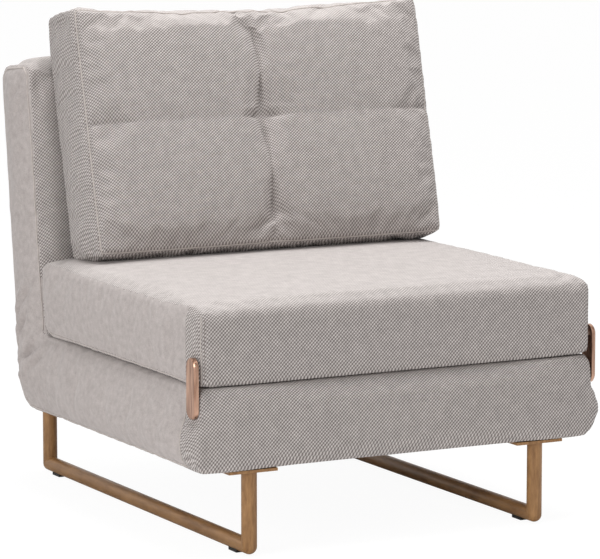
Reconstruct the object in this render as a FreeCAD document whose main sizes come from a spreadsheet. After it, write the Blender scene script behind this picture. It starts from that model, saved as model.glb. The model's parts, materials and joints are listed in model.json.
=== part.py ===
import FreeCAD, Part
import Sketcher
import math
import os
import re

from FreeCAD import Placement, Rotation, Vector

# Convertible chair bed.
# A lower mattress section stands on two sled legs. A back section shares its cover and
# reclines about a hinge at the inner corner. A seat section lies on the lower one and
# turns over its front edge on two copper straps. A loose pillow stands on the seat.
# Lengths are millimetres and angles degrees. Depth is measured backwards from the front
# face of the seat, height upwards from the floor, and X runs to the right.

doc = FreeCAD.newDocument("ChairBed")
sizes = doc.addObject("Spreadsheet::Sheet", "Sizes")
places = doc.addObject("App::VarSet", "Places")

known = {}


def bind(text):
    """Turn the plain names in a formula into references to the document's values."""
    return re.sub(r"[a-z_]+[a-z0-9_]*", lambda word: known.get(word.group(), word.group()), str(text))


def place(name, formula):
    """Write one derived place, worked out from the driving dimensions."""
    places.addProperty("App::PropertyFloat", name)
    places.setExpression(name, bind(formula))
    known[name] = "Places." + name


# Driving dimensions, each written once
dimensions = {
    # The three mattress sections
    "seat_depth": 655,  # front face of the seat to its rear top edge
    "seat_thick": 130,  # seat section, bottom face to top edge
    "seat_crown": 11,  # rise of the seat's top in the middle
    "base_thick": 145,  # lower section, bottom face to top face
    "back_thick": 119,  # back section, front face to rear face
    "back_length": 506,  # back section, hinge axis to top end
    "half_width": 366,  # centre line to where the side crowns start
    "side_crown": 17,  # bulge of the side panels
    "front_crown": 4,  # bulge of the front panels
    "back_crown": 4,  # bulge of the back section's faces
    "cover_wall": 3,  # quilted cover
    "cover_tuck": 5,  # cover at the rounded edges
    "foam_gap": 0.6,  # foam to cover
    "section_gap": 0.8,  # seat to lower section
    "seat_back_gap": 3,  # seat's rear edge to the crowned back
    "back_lean": 7,  # lean of the back from upright
    "hinge_depth": 12,  # recline axis below the mattress surface
    "end_gap": 1,  # each section's end to the plane of the recline axis
    "valley_round": 30,  # rounded edges at the inner corner
    "rolling_round": 17,  # facing front edges, which roll on each other
    "seat_edge_round": 16,  # seat's top front edge
    "seat_rear_round": 12,  # seat's top rear edge
    "seat_heel_round": 22,  # seat's lower rear edge
    "base_edge_round": 14,  # lower section's bottom edge
    "back_top_round": 22,  # back's top front edge
    "back_rear_round": 26,  # back's top rear edge
    "gusset_round": 55,  # outer lower corner of the shared cover

    # Sled legs
    "leg_height": 150,  # floor to the underside of the lower section
    "leg_tube": 26.8,  # outer diameter of the sled tube
    "leg_wall": 1.5,  # wall of the sled tube
    "leg_inset": 20.5,  # front face to the front post
    "leg_run": 822,  # front post to rear post
    "leg_offset": 281,  # centre line to each sled
    "glide_rise": 2.5,  # floor to the bottom of the sled tube
    "glide_size": 18,  # width of a floor glide
    "glide_long": 30,  # length of a floor glide
    "glide_grip": 3,  # floor glide, reach up the tube
    "glide_inset": 45,  # post to floor glide
    "plate_long": 92,  # leg plate, long side
    "plate_wide": 34,  # leg plate, short side
    "plate_thick": 5,  # leg plate
    "rail_wide": 30,  # rear rail, width
    "rail_high": 25,  # rear rail, height
    "rail_start": 290,  # front face to the front end of the rear rails
    "plug_deep": 12,  # end cap, reach into the rail
    "rail_over": 13.5,  # rear post to the rear end of the rail

    # Frames inside the sections
    "frame_tube": 25,  # square tube of the frames
    "frame_wall": 1.5,  # wall of that tube
    "frame_clear": 14,  # outside of the seat's and base's frames to the side crowns
    "base_frame_front": 8,  # front face to the base frame
    "base_frame_gap": 30,  # rear of the base frame to the seat's rear edge
    "seat_frame_front": 40,  # front face to the seat frame
    "seat_frame_gap": 38,  # rear of the seat frame to the seat's rear edge
    "back_frame_low": 35,  # recline axis to the back frame
    "back_frame_gap": 16,  # top of the back frame to the top of the back
    "back_frame_sink": 64,  # recline axis back to the top face of the back frame
    "board_thick": 4.4,  # bottom board
    "slat_wide": 52,  # bowed slat, width
    "slat_thick": 8,  # bowed slat, thickness
    "slat_bow": 5,  # rise of a slat at its middle
    "cap_wide": 62,  # slat holder, width
    "cap_high": 15,  # slat holder, height
    "cap_deep": 20,  # slat holder, reach
    "slat_play": 0.3,  # slat to its holder
    "plate_slot": 7,  # foam cut back beside the hinge plates

    # Double-pivot strap hinge between the seat and the lower section
    "strap_long": 104,  # strap, end to end
    "strap_wide": 33,  # strap width
    "strap_thick": 8,  # strap thickness
    "strap_bevel": 2,  # bevelled rim of a strap
    "strap_gap": 1.6,  # strap to the side panels
    "hinge_pin": 10,  # diameter of the strap pins
    "pin_play": 0.05,  # running clearance of the pins, radial
    "pin_hole_play": 0.7,  # pins to the cover, radial
    "pin_length": 40,  # strap pin, inside length
    "bracket_thick": 5,  # hinge bracket
    "bracket_eye": 10.5,  # radius of a bracket's eye
    "bracket_reach": 90,  # front face to the rear of a bracket

    # Recliner hinge
    "recliner_pin": 8,  # diameter of the recliner pins
    "recliner_eye": 8.5,  # radius of a recliner plate's eye
    "recliner_plate": 4,  # thickness of a recliner plate
    "fixed_reach": 70,  # fixed plate along the base frame
    "moving_reach": 80,  # moving plate along the back frame
    "slot_room": 5,  # foam cut back beyond a hinge plate
    "recliner_space": 1,  # fixed plate to moving plate
    "ratchet_radius": 36,  # toothed sector
    "tooth_depth": 3,  # depth of a tooth
    "tooth_step": 9,  # angle from tooth to tooth
    "pawl_gap": 0.6,  # pawl to the teeth
    "pawl_high": 10,  # height of the pawl
    "pawl_wide": 9,  # width of the pawl
    "pawl_angle": 60,  # pawl to the back's direction

    # Seat's drop legs, which hang in a bay behind the seat's upper edge
    "seat_leg_tube": 18,  # square tube of a drop leg
    "seat_leg_offset": 285,  # centre line to a drop leg's pivot
    "leg_front_play": 3.5,  # front of the leg bay to a drop leg
    "seat_leg_eye": 12,  # radius of a drop leg's eye
    "seat_leg_pin": 8,  # diameter of a drop leg's pivot bolt
    "leg_bay_half": 300,  # centre line to the side of the leg bay
    "bay_wall": 5,  # rear of the seat frame to the leg bay
    "leg_bay_play": 3,  # drop leg's eye to the floor of its bay
    "foot_cap": 14,  # height of a rubber foot
    "foot_wall": 1.5,  # rubber foot around its tube
    "floor_play": 0.5,  # drop leg's foot to the floor

    # Back's hoop leg
    "hoop_tube": 20,  # square tube of the hoop leg
    "hoop_below": 50,  # top of the back frame to the hoop's pivot
    "hoop_clear": 20,  # back's rear face to the hoop's pivot
    "hoop_half": 290,  # centre line to the hoop's posts
    "hoop_rise": 7,  # hoop's pivot to the top of its posts
    "hoop_pin": 8,  # diameter of the hoop's pivot pins
    "ear_thick": 4,  # bracket ear
    "ear_play": 1,  # hoop to a bracket ear
    "ear_plate": 4,  # bracket base plate, thickness
    "ear_seat": 1,  # bracket base plate off the back's flat rear, for the crown
    "ear_long": 64,  # bracket base plate, long side
    "ear_wide": 34,  # bracket base plate, short side
    "lug_wide": 22,  # bracket ear, width
    "hoop_foot": 3,  # thickness of the hoop's feet
    "hoop_foot_long": 40,  # length of the hoop's feet

    # Loose pillow
    "pillow_wide": 316,  # pillow, centre line to where its side crown starts
    "pillow_side": 32,  # bulge of the pillow's side panels
    "pillow_high": 448,  # pillow height
    "pillow_thick": 125,  # pillow thickness at the seams
    "pillow_crown": 16,  # bulge of each quarter of the pillow's front
    "valley_wide": 40,  # width of the sewn valley down the pillow's front
    "pillow_seam": 5,  # height of the sewn cross above the edge seams
    "pillow_rear_crown": 8,  # bulge of the pillow's rear face
    "pillow_lean": 14,  # lean of the pillow
    "heel_gap": 44,  # pillow's lower rear edge to the seat's rear edge
    "pillow_gap": 0.3,  # pillow to the seat
    "pillow_wall": 4,  # pillow cover
    "pillow_round": 15,  # pillow's rounded edges
    "zip_inset": 56,  # pillow's rear edge to the zip
    "zip_end": 16,  # end of the zip to where the pillow's side crown starts
    "zip_wide": 12,  # zip tape width
    "zip_thick": 1.6,  # zip tape thickness
    "zip_stop": 14,  # end of the zip to the slider's first place
    "slider_long": 11,  # slider length
    "slider_wide": 8,  # slider width
    "slider_high": 3.6,  # slider height
    "pull_long": 20,  # pull tab length
    "origin_depth": 426,  # front face back to the origin
}

for row, (name, value) in enumerate(dimensions.items(), start=1):
    sizes.set(f"A{row}", name)
    sizes.set(f"B{row}", str(value))
    sizes.setAlias(f"B{row}", name)
    known[name] = "Sizes." + name


# Derived places
place("frame_half", "half_width - frame_clear")
place("base_frame_rear", "seat_depth - base_frame_gap")
place("seat_frame_rear", "seat_depth - seat_frame_gap")
place("back_frame_top", "back_length - back_frame_gap")
place("leg_bay_depth", "seat_frame_rear + bay_wall")
place("seat_leg_depth", "leg_bay_depth + leg_front_play + seat_leg_tube / 2")
place("hoop_along", "back_frame_top - hoop_below")
place("pillow_heel", "seat_depth - heel_gap")
place("zip_half", "pillow_wide - zip_end")
place("split_z", "leg_height + base_thick")
place("seat_low", "split_z + section_gap")
place("seat_high", "seat_low + seat_thick")
place("roll_z", "split_z + section_gap / 2")
place("link_pitch", "strap_long - strap_wide")
place("hinge_inset", "strap_wide / 2")
place("lower_pin_z", "roll_z - link_pitch / 2")
place("upper_pin_z", "roll_z + link_pitch / 2")
place("recline_z", "split_z - hinge_depth")
place("back_front_y", "seat_depth + seat_back_gap + back_crown")
place("lean_run", "(seat_high - recline_z) * sin(back_lean * 1 deg)")
place("recline_y", "back_front_y + (hinge_depth - lean_run) / cos(back_lean * 1 deg)")
place("tube_radius", "leg_tube / 2")
place("rail_tube_z", "glide_rise + tube_radius")
place("rear_post_y", "leg_inset + leg_run")
place("rail_low", "leg_height - rail_high")
place("rail_end", "rear_post_y + rail_over")
place("board_low", "leg_height + cover_wall")
place("base_frame_low", "board_low + board_thick + foam_gap")
place("base_cross", "(base_frame_front + base_frame_rear - frame_tube) / 2")
place("seat_frame_low", "(seat_low + seat_high - frame_tube) / 2")
place("inner_half", "half_width + side_crown * 0.3")
place("outer_half", "half_width + side_crown")
place("strap_inner", "outer_half + strap_gap")
place("bracket_inner", "frame_half")
place("fixed_inner", "frame_half")
place("moving_inner", "frame_half + recliner_plate + recliner_space")
place("back_frame_half", "moving_inner")
place("seat_leg_z", "seat_frame_low + frame_tube / 2")
place("leg_bay_floor", "seat_leg_z - seat_leg_eye - leg_bay_play")
place("seat_leg_reach", "lower_pin_z + upper_pin_z - seat_leg_z - floor_play")
place("hoop_sink", "back_thick - hinge_depth + hoop_clear")
place("hoop_y", "recline_y + hoop_along * sin(back_lean * 1 deg) + hoop_sink * cos(back_lean * 1 deg)")
place("hoop_z", "recline_z + hoop_along * cos(back_lean * 1 deg) - hoop_sink * sin(back_lean * 1 deg)")
place("hoop_drop", "recline_z - hoop_sink - hoop_foot - floor_play - hoop_tube / 2")
place("heel_crown", "seat_crown * (1 - (2 * pillow_heel / seat_depth - 1) ^ 2)")
place("heel_round", "pillow_round * (cos(pillow_lean * 1 deg) + sin(pillow_lean * 1 deg) - 1)")
place("pillow_z", "seat_high + heel_crown - heel_round + pillow_gap")

doc.recompute()


def number(name):
    """The present value of a driving dimension or a derived place."""
    holder = sizes if known[name].startswith("Sizes.") else places
    return float(getattr(holder, name))


made = []


def bind_all(item, names, texts):
    for name, text in zip(names, texts):
        item.setExpression(name, bind(text))
    return item


def box(name, lengths, corner):
    """A block with its sizes and its lowest corner bound to the sheet."""
    item = doc.addObject("Part::Box", name)
    bind_all(item, ("Length", "Width", "Height"), lengths)
    return bind_all(item, ("Placement.Base.x", "Placement.Base.y", "Placement.Base.z"), corner)


TURNS = {"x": (Vector(0, 1, 0), 90), "y": (Vector(1, 0, 0), -90), "z": (Vector(0, 0, 1), 0)}


def rod(name, radius, length, start, along):
    """A cylinder from a start point along one axis."""
    item = doc.addObject("Part::Cylinder", name)
    axis, angle = TURNS[along]
    item.Placement = Placement(Vector(), Rotation(axis, angle))
    bind_all(item, ("Radius", "Height"), (radius, length))
    return bind_all(item, ("Placement.Base.x", "Placement.Base.y", "Placement.Base.z"), start)


def ball(name, radius, centre):
    item = doc.addObject("Part::Sphere", name)
    bind_all(item, ("Radius",), (radius,))
    return bind_all(item, ("Placement.Base.x", "Placement.Base.y", "Placement.Base.z"), centre)


def fuse(name, items):
    item = doc.addObject("Part::MultiFuse", name)
    item.Shapes = items
    item.Refine = True
    return item


def cut(name, base, tool):
    item = doc.addObject("Part::Cut", name)
    item.Base = base
    item.Tool = tool
    return item


def group(name, items):
    item = doc.addObject("Part::Compound", name)
    item.Links = items
    return item


def soft(name, shape):
    """A form that the sheet's values shape in code: a crowned pad or a bowed slat."""
    item = doc.addObject("Part::Feature", name)
    item.Shape = shape
    return item


def keep(item, label, section="upright"):
    """Name a finished sub-part and set it in the chair."""
    item.Label = label
    if section == "upright":
        item.setExpression("Placement.Base.y", bind("-origin_depth"))
    if section == "back":
        item.Placement = Placement(Vector(), Rotation(Vector(1, 0, 0), 90 - number("back_lean")))
        item.setExpression("Placement.Base.y", bind("recline_y - origin_depth"))
        item.setExpression("Placement.Base.z", bind("recline_z"))
        item.setExpression("Placement.Rotation.Angle", bind("90 - back_lean"))
    if section == "hoop":
        item.setExpression("Placement.Base.y", bind("hoop_y - origin_depth"))
        item.setExpression("Placement.Base.z", bind("hoop_z"))
    if section == "pillow":
        item.Placement = Placement(Vector(), Rotation(Vector(-1, 0, 0), number("pillow_lean")))
        item.setExpression("Placement.Base.y", bind("pillow_heel - origin_depth"))
        item.setExpression("Placement.Base.z", bind("pillow_z"))
        item.setExpression("Placement.Rotation.Angle", bind("pillow_lean"))
    made.append(item)
    return item


SIDES = (("left", -1), ("right", 1))


def start_x(side, inner, width):
    """Left end of a piece that lies between inner and inner + width on one side."""
    return inner if side > 0 else f"-({inner}) - ({width})"


# Profiles and crowned pads


def rounded_profile(x, corners, rounds, bulges):
    """A closed wire of arcs and lines through corners given as (depth, height)."""
    count = len(corners)
    spots = [Vector(x, y, z) for y, z in corners]
    entries, exits, middles = [], [], []
    for i, spot in enumerate(spots):
        before = (spots[i - 1] - spot).normalize()
        after = (spots[(i + 1) % count] - spot).normalize()
        radius = rounds[i]
        if radius <= 0:
            entries.append(spot)
            exits.append(spot)
            middles.append(None)
            continue
        half = before.getAngle(after) / 2
        reach = radius / math.tan(half)
        bisector = (before + after).normalize()
        centre = spot + bisector * (radius / math.sin(half))
        entries.append(spot + before * reach)
        exits.append(spot + after * reach)
        middles.append(centre - bisector * radius)
    edges = []
    for i in range(count):
        if middles[i] is not None:
            edges.append(Part.Arc(entries[i], middles[i], exits[i]).toShape())
        start, end = exits[i], entries[(i + 1) % count]
        if abs(bulges[i]) > 0:
            run = (end - start).normalize()
            outward = Vector(0, run.z, -run.y)
            middle = (start + end) * 0.5 + outward * bulges[i]
            edges.append(Part.Arc(start, middle, end).toShape())
        else:
            edges.append(Part.LineSegment(start, end).toShape())
    return Part.Wire(edges)


def inset_corners(corners, inset):
    """Move each corner of a four-sided outline inwards by one distance in depth and height."""
    middle_y = sum(y for y, z in corners) / len(corners)
    middle_z = sum(z for y, z in corners) / len(corners)
    return [
        (y + math.copysign(inset, middle_y - y), z + math.copysign(inset, middle_z - z) * (z != middle_z))
        for y, z in corners
    ]


def crowned_pad(corners, rounds, bulges, stations):
    """A pad lofted through outlines from its left side to its right side."""
    wires = []
    mirrored = [(-x, inset, crown) for x, inset, crown in reversed(stations)] + stations
    for x, inset, crown in mirrored:
        outline = inset_corners(corners, inset)
        wires.append(rounded_profile(x, outline, rounds, [bulge * crown for bulge in bulges]))
    return Part.makeLoft(wires, True, True)


def section_stations():
    """Outlines across a mattress section: how far out, how far inset, how much crown."""
    edge = number("half_width")
    crown = number("side_crown")
    return [
        (edge * 0.55, 0.0, 1.0),
        (edge, 0.0, 0.25),
        (edge + crown * 0.6, crown * 0.2, 0.1),
        (edge + crown, crown, 0.02),
    ]


def prism(corners, cuts, half):
    """A plain block with cut corners, from -half to half across the width."""
    spots = [Vector(-half, y, z) for y, z in corners]
    outline = []
    for i, spot in enumerate(spots):
        before = (spots[i - 1] - spot).normalize()
        after = (spots[(i + 1) % len(spots)] - spot).normalize()
        outline.append(spot + before * cuts[i])
        if cuts[i] > 0:
            outline.append(spot + after * cuts[i])
    return Part.Face(Part.makePolygon(outline + outline[:1])).extrude(Vector(2 * half, 0, 0))


def block(x0, x1, y0, y1, z0, z1):
    return Part.makeBox(x1 - x0, y1 - y0, z1 - z0, Vector(x0, y0, z0))


def both_sides(shape):
    return [shape, shape.mirror(Vector(), Vector(1, 0, 0))]


def cylinder_x(radius, x0, x1, y, z):
    return Part.makeCylinder(radius, x1 - x0, Vector(x0, y, z), Vector(1, 0, 0))


# Sled legs: round tube loops with welded plates


def sled_leg(side_name, side):
    """One loop of tube, welded shut at its ball corners, with a plate on each post."""
    middle = f"{side} * leg_offset"
    front = (middle, "leg_inset", "rail_tube_z")
    rear = (middle, "rear_post_y", "rail_tube_z")
    front_high = "leg_height - plate_thick - rail_tube_z"
    rear_high = "rail_low - plate_thick - rail_tube_z"
    outer = fuse(
        side_name + "_loop",
        [
            rod(side_name + "_front_post", "tube_radius", front_high, front, "z"),
            rod(side_name + "_rear_post", "tube_radius", rear_high, rear, "z"),
            rod(side_name + "_floor_rail", "tube_radius", "leg_run", front, "y"),
            ball(side_name + "_front_corner", "tube_radius", front),
            ball(side_name + "_rear_corner", "tube_radius", rear),
        ],
    )
    bore = "tube_radius - leg_wall"
    front_bore = f"{front_high} - tube_radius"
    rear_bore = f"{rear_high} - tube_radius"
    above = "rail_tube_z + tube_radius"
    behind = "leg_inset + tube_radius"
    bores = fuse(
        side_name + "_bores",
        [
            rod(side_name + "_front_bore", bore, front_bore, (middle, "leg_inset", above), "z"),
            rod(side_name + "_rear_bore", bore, rear_bore, (middle, "rear_post_y", above), "z"),
            rod(side_name + "_rail_bore", bore, "leg_run - leg_tube", (middle, behind, "rail_tube_z"), "y"),
        ],
    )
    tube = cut(side_name + "_tube", outer, bores)
    front_plate = box(
        side_name + "_front_plate",
        ("plate_long", "plate_wide", "plate_thick"),
        (f"{middle} - plate_long / 2", "leg_inset - plate_wide / 2", "leg_height - plate_thick"),
    )
    rear_plate = box(
        side_name + "_rear_plate",
        ("rail_wide", "plate_long", "plate_thick"),
        (f"{middle} - rail_wide / 2", "rail_end - plate_long", "rail_low - plate_thick"),
    )
    return keep(fuse(side_name + "_sled", [tube, front_plate, rear_plate]), "sled_leg_" + side_name)


for side_name, side in SIDES:
    sled_leg(side_name, side)

glides = []
for side_name, side in SIDES:
    tube = rod(
        f"glide_seat_{side_name}",
        "tube_radius",
        "leg_run",
        (f"{side} * leg_offset", "leg_inset", "rail_tube_z"),
        "y",
    )
    for end, depth in (("front", "leg_inset + glide_inset"), ("rear", "rear_post_y - glide_inset")):
        pad = box(
            f"glide_pad_{side_name}_{end}",
            ("glide_size", "glide_long", "glide_rise + glide_grip"),
            (f"{side} * leg_offset - glide_size / 2", f"{depth} - glide_long / 2", 0),
        )
        glides.append(cut(f"glide_{side_name}_{end}", pad, tube))
keep(group("glide_group", glides), "floor_glides")

rails = []
caps = []
for side_name, side in SIDES:
    left_edge = f"{side} * leg_offset - rail_wide / 2"
    long = "rail_end - rail_start"
    solid = box(f"rail_{side_name}", ("rail_wide", long, "rail_high"), (left_edge, "rail_start", "rail_low"))
    bore_sizes = ("rail_wide - 2 * frame_wall", f"{long} + 2", "rail_high - 2 * frame_wall")
    bore_corner = (f"{left_edge} + frame_wall", "rail_start - 1", "rail_low + frame_wall")
    rails.append(cut(f"rail_tube_{side_name}", solid, box(f"rail_bore_{side_name}", bore_sizes, bore_corner)))
    plug_sizes = ("rail_wide - 2 * frame_wall", "plug_deep", "rail_high - 2 * frame_wall")
    for end, depth in (("front", "rail_start"), ("rear", "rail_end - plug_deep")):
        plug_corner = (f"{left_edge} + frame_wall", depth, "rail_low + frame_wall")
        caps.append(box(f"rail_plug_{side_name}_{end}", plug_sizes, plug_corner))
keep(group("rail_group", rails), "rear_rails")
keep(group("rail_cap_group", caps), "rail_end_caps")


# Welded tube frames


def tube_frame(name, half, low, front, rear, crossings):
    """A rectangle of square tube with cross tubes, hollow all round."""
    shells = []
    for shell, thin in (("outer", "0"), ("bore", "frame_wall")):
        tube = f"(frame_tube - 2 * ({thin}))"
        bars = []
        for side_name, side in SIDES:
            x = start_x(side, f"{half} - frame_tube + {thin}", tube)
            bars.append(
                box(
                    f"{name}_{shell}_{side_name}",
                    (tube, f"{rear} - ({front}) - 2 * ({thin})", tube),
                    (x, f"{front} + {thin}", f"{low} + {thin}"),
                )
            )
        depths = [front, f"{rear} - frame_tube"] + list(crossings)
        for i, depth in enumerate(depths):
            bars.append(
                box(
                    f"{name}_{shell}_cross_{i}",
                    (f"2 * ({half}) - 2 * ({thin})", tube, tube),
                    (f"-({half}) + {thin}", f"{depth} + {thin}", f"{low} + {thin}"),
                )
            )
        shells.append(fuse(f"{name}_{shell}", bars))
    return cut(f"{name}_tube", shells[0], shells[1])


base_tube = tube_frame(
    "base", "frame_half", "base_frame_low", "base_frame_front", "base_frame_rear", ["base_cross"]
)
keep(base_tube, "base_frame")

board = box(
    "board",
    ("2 * frame_half", "base_frame_rear - base_frame_front - cover_tuck", "board_thick"),
    ("-frame_half", "base_frame_front + cover_tuck", "board_low + foam_gap / 2"),
)
keep(group("board_group", [board]), "base_panel")

seat_tube = tube_frame("seat", "frame_half", "seat_frame_low", "seat_frame_front", "seat_frame_rear", [])
leg_pin_holes = fuse(
    "leg_pin_holes",
    [
        rod(
            f"leg_pin_hole_{side_name}",
            "seat_leg_pin / 2 + pin_play",
            "3 * frame_wall",
            (f"{side} * seat_leg_offset", "seat_frame_rear - 2 * frame_wall", "seat_leg_z"),
            "y",
        )
        for side_name, side in SIDES
    ],
)
keep(cut("seat_frame_drilled", seat_tube, leg_pin_holes), "seat_frame")

back_tube = tube_frame(
    "back",
    "back_frame_half",
    "-back_frame_sink - frame_tube / 2",
    "back_frame_low",
    "back_frame_top",
    ["hoop_along - frame_tube / 2"],
)
keep(back_tube, "back_frame", "back")


# Bowed slats in plastic holders


def slat_row(half, low, front, rear, count):
    """Slats across a frame, each bowed upwards, with a holder at both ends."""
    tube = number("frame_tube")
    reach = half - tube - number("cover_wall")
    wide, thick, bow = number("slat_wide"), number("slat_thick"), number("slat_bow")
    cap_wide, cap_high, cap_deep = number("cap_wide"), number("cap_high"), number("cap_deep")
    play = number("slat_play")
    clear = rear - front - 2 * tube
    slats, caps = [], []
    for i in range(count):
        y = front + tube + clear * (i + 0.5) / count
        outline = Part.Wire(
            [
                Part.Arc(Vector(-reach, y, low), Vector(0, y, low + bow), Vector(reach, y, low)).toShape(),
                Part.LineSegment(Vector(reach, y, low), Vector(reach, y, low + thick)).toShape(),
                Part.Arc(
                    Vector(reach, y, low + thick), Vector(0, y, low + thick + bow), Vector(-reach, y, low + thick)
                ).toShape(),
                Part.LineSegment(Vector(-reach, y, low + thick), Vector(-reach, y, low)).toShape(),
            ]
        )
        slat = Part.Face(outline).extrude(Vector(0, wide, 0))
        slat.translate(Vector(0, -wide / 2, 0))
        slats.append(slat)
        cap = block(
            half - tube - cap_deep,
            half - tube,
            y - cap_wide / 2,
            y + cap_wide / 2,
            low + (thick - cap_high) / 2,
            low + (thick + cap_high) / 2,
        )
        room = slat.copy()
        gap = block(
            0, reach + play, y - wide / 2 - play, y + wide / 2 + play, low - play, low + thick + bow / 8 + play
        )
        caps += both_sides(cap.cut(gap).cut(room))
    return slats, caps


base_slats, base_caps = slat_row(
    number("frame_half"),
    number("base_frame_low") + 7,
    number("base_frame_front"),
    number("base_frame_rear"),
    6,
)
keep(soft("base_slat_row", Part.makeCompound(base_slats)), "base_slats")
keep(soft("base_cap_row", Part.makeCompound(base_caps)), "base_slat_holders")

seat_slats, seat_caps = slat_row(
    number("frame_half"),
    number("seat_frame_low") + 7,
    number("seat_frame_front"),
    number("seat_frame_rear"),
    6,
)
keep(soft("seat_slat_row", Part.makeCompound(seat_slats)), "seat_slats")
keep(soft("seat_cap_row", Part.makeCompound(seat_caps)), "seat_slat_holders")

back_slats, back_caps = slat_row(
    number("back_frame_half"),
    -number("back_frame_sink") - 6,
    number("back_frame_low"),
    number("hoop_along") + number("frame_tube") / 2,
    5,
)
keep(soft("back_slat_row", Part.makeCompound(back_slats)), "back_slats", "back")
keep(soft("back_cap_row", Part.makeCompound(back_caps)), "back_slat_holders", "back")


# Double-pivot strap hinge


def strap(side_name, side):
    """A copper link: a slot-shaped plate with a bevelled outer rim."""
    body = doc.addObject("PartDesign::Body", "strap_" + side_name)
    sketch = body.newObject("Sketcher::SketchObject", "strap_outline_" + side_name)
    plane = [p for p in body.Origin.OriginFeatures if p.Role == "YZ_Plane"][0]
    sketch.AttachmentSupport = [(plane, "")]
    sketch.MapMode = "FlatFace"
    half = number("link_pitch") / 2
    radius = number("strap_wide") / 2
    top = sketch.addGeometry(
        Part.ArcOfCircle(Part.Circle(Vector(0, half, 0), Vector(0, 0, 1), radius), 0, math.pi)
    )
    bottom = sketch.addGeometry(
        Part.ArcOfCircle(Part.Circle(Vector(0, -half, 0), Vector(0, 0, 1), radius), math.pi, 2 * math.pi)
    )
    left = sketch.addGeometry(Part.LineSegment(Vector(-radius, half, 0), Vector(-radius, -half, 0)))
    right = sketch.addGeometry(Part.LineSegment(Vector(radius, -half, 0), Vector(radius, half, 0)))
    first, second, centre = 1, 2, 3
    sketch.addConstraint(
        [
            Sketcher.Constraint("Tangent", top, second, left, first),
            Sketcher.Constraint("Tangent", left, second, bottom, first),
            Sketcher.Constraint("Tangent", bottom, second, right, first),
            Sketcher.Constraint("Tangent", right, second, top, first),
            Sketcher.Constraint("Equal", top, bottom),
            Sketcher.Constraint("PointOnObject", top, centre, -2),
            Sketcher.Constraint("Symmetric", top, centre, bottom, centre, -1, 1),
        ]
    )
    radius_rule = sketch.addConstraint(Sketcher.Constraint("Radius", top, radius))
    pitch_rule = sketch.addConstraint(
        Sketcher.Constraint("DistanceY", bottom, centre, top, centre, 2 * half)
    )
    sketch.setExpression(f"Constraints[{radius_rule}]", bind("strap_wide / 2"))
    sketch.setExpression(f"Constraints[{pitch_rule}]", bind("link_pitch"))
    plate = body.newObject("PartDesign::Pad", "strap_plate_" + side_name)
    plate.Profile = sketch
    plate.setExpression("Length", bind("strap_thick"))
    plate.Reversed = side < 0
    doc.recompute()
    outer = [
        f"Face{i + 1}"
        for i, face in enumerate(plate.Shape.Faces)
        if abs(face.CenterOfMass.x - side * number("strap_thick")) < 1e-6
    ]
    bevel = body.newObject("PartDesign::Chamfer", "strap_bevel_" + side_name)
    bevel.Base = (plate, outer)
    bevel.setExpression("Size", bind("strap_bevel"))
    body.Tip = bevel
    keep(body, "link_strap_" + side_name)
    body.setExpression("Placement.Base.x", bind(f"{side} * strap_inner"))
    body.setExpression("Placement.Base.y", bind("hinge_inset - origin_depth"))
    body.setExpression("Placement.Base.z", bind("roll_z"))


for side_name, side in SIDES:
    strap(side_name, side)

pins = []
pin_holes = []
for side_name, side in SIDES:
    for level in ("lower", "upper"):
        tag = f"{level}_{side_name}"
        height = f"{level}_pin_z"
        start = (start_x(side, "strap_inner - pin_length", "pin_length"), "hinge_inset", height)
        pins.append(rod("strap_pin_" + tag, "hinge_pin / 2", "pin_length", start, "x"))
        room = "(hinge_pin + 2 * pin_hole_play)"
        corner = (
            start_x(side, "inner_half - pin_length", "2 * pin_length"),
            f"hinge_inset - {room} / 2",
            f"{height} - {room} / 2",
        )
        pin_holes.append(box("pin_room_" + tag, ("2 * pin_length", room, room), corner))
keep(group("strap_pin_group", pins), "link_pins")
pin_room = fuse("pin_room", pin_holes)


def hinge_bracket(name, pin_height, frame_low, frame_front):
    """A plate on each side tube, tapering forwards to an eye for the strap's pin."""
    y, z = number("hinge_inset"), number(pin_height)
    low = number(frame_low)
    high = low + number("frame_tube")
    front = max(number(frame_front), y + 8)
    rear = number("bracket_reach")
    eye = number("bracket_eye")
    inner = number("bracket_inner")
    thick = number("bracket_thick")
    above = low > z
    near, far = (low, high) if above else (high, low)
    back_y = rear
    shoulder = [
        Vector(inner, y - eye, z),
        Vector(inner, y + eye, z),
        Vector(inner, back_y, near),
        Vector(inner, back_y, far),
        Vector(inner, front if above else y - eye + 2, far),
    ]
    if above:
        shoulder[4] = Vector(inner, front, far)
    web = Part.Face(Part.makePolygon(shoulder + shoulder[:1])).extrude(Vector(thick, 0, 0))
    eye_disc = cylinder_x(eye, inner, inner + thick, y, z)
    bore = cylinder_x(number("hinge_pin") / 2 + number("pin_play"), inner - 1, inner + thick + 1, y, z)
    return web.fuse(eye_disc).cut(bore).removeSplitter()


base_bracket = hinge_bracket("base", "lower_pin_z", "base_frame_low", "base_frame_front")
seat_bracket = hinge_bracket("seat", "upper_pin_z", "seat_frame_low", "seat_frame_front")
base_brackets = Part.makeCompound(both_sides(base_bracket))
seat_brackets = Part.makeCompound(both_sides(seat_bracket))
keep(soft("base_bracket_pair", base_brackets), "base_hinge_brackets")
keep(soft("seat_bracket_pair", seat_brackets), "seat_hinge_brackets")


# Recliner hinge: fixed toothed plates, moving plates with a pawl, and pins


def polar(radius, angle):
    turn = math.radians(angle)
    return radius * math.cos(turn), radius * math.sin(turn)


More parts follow.
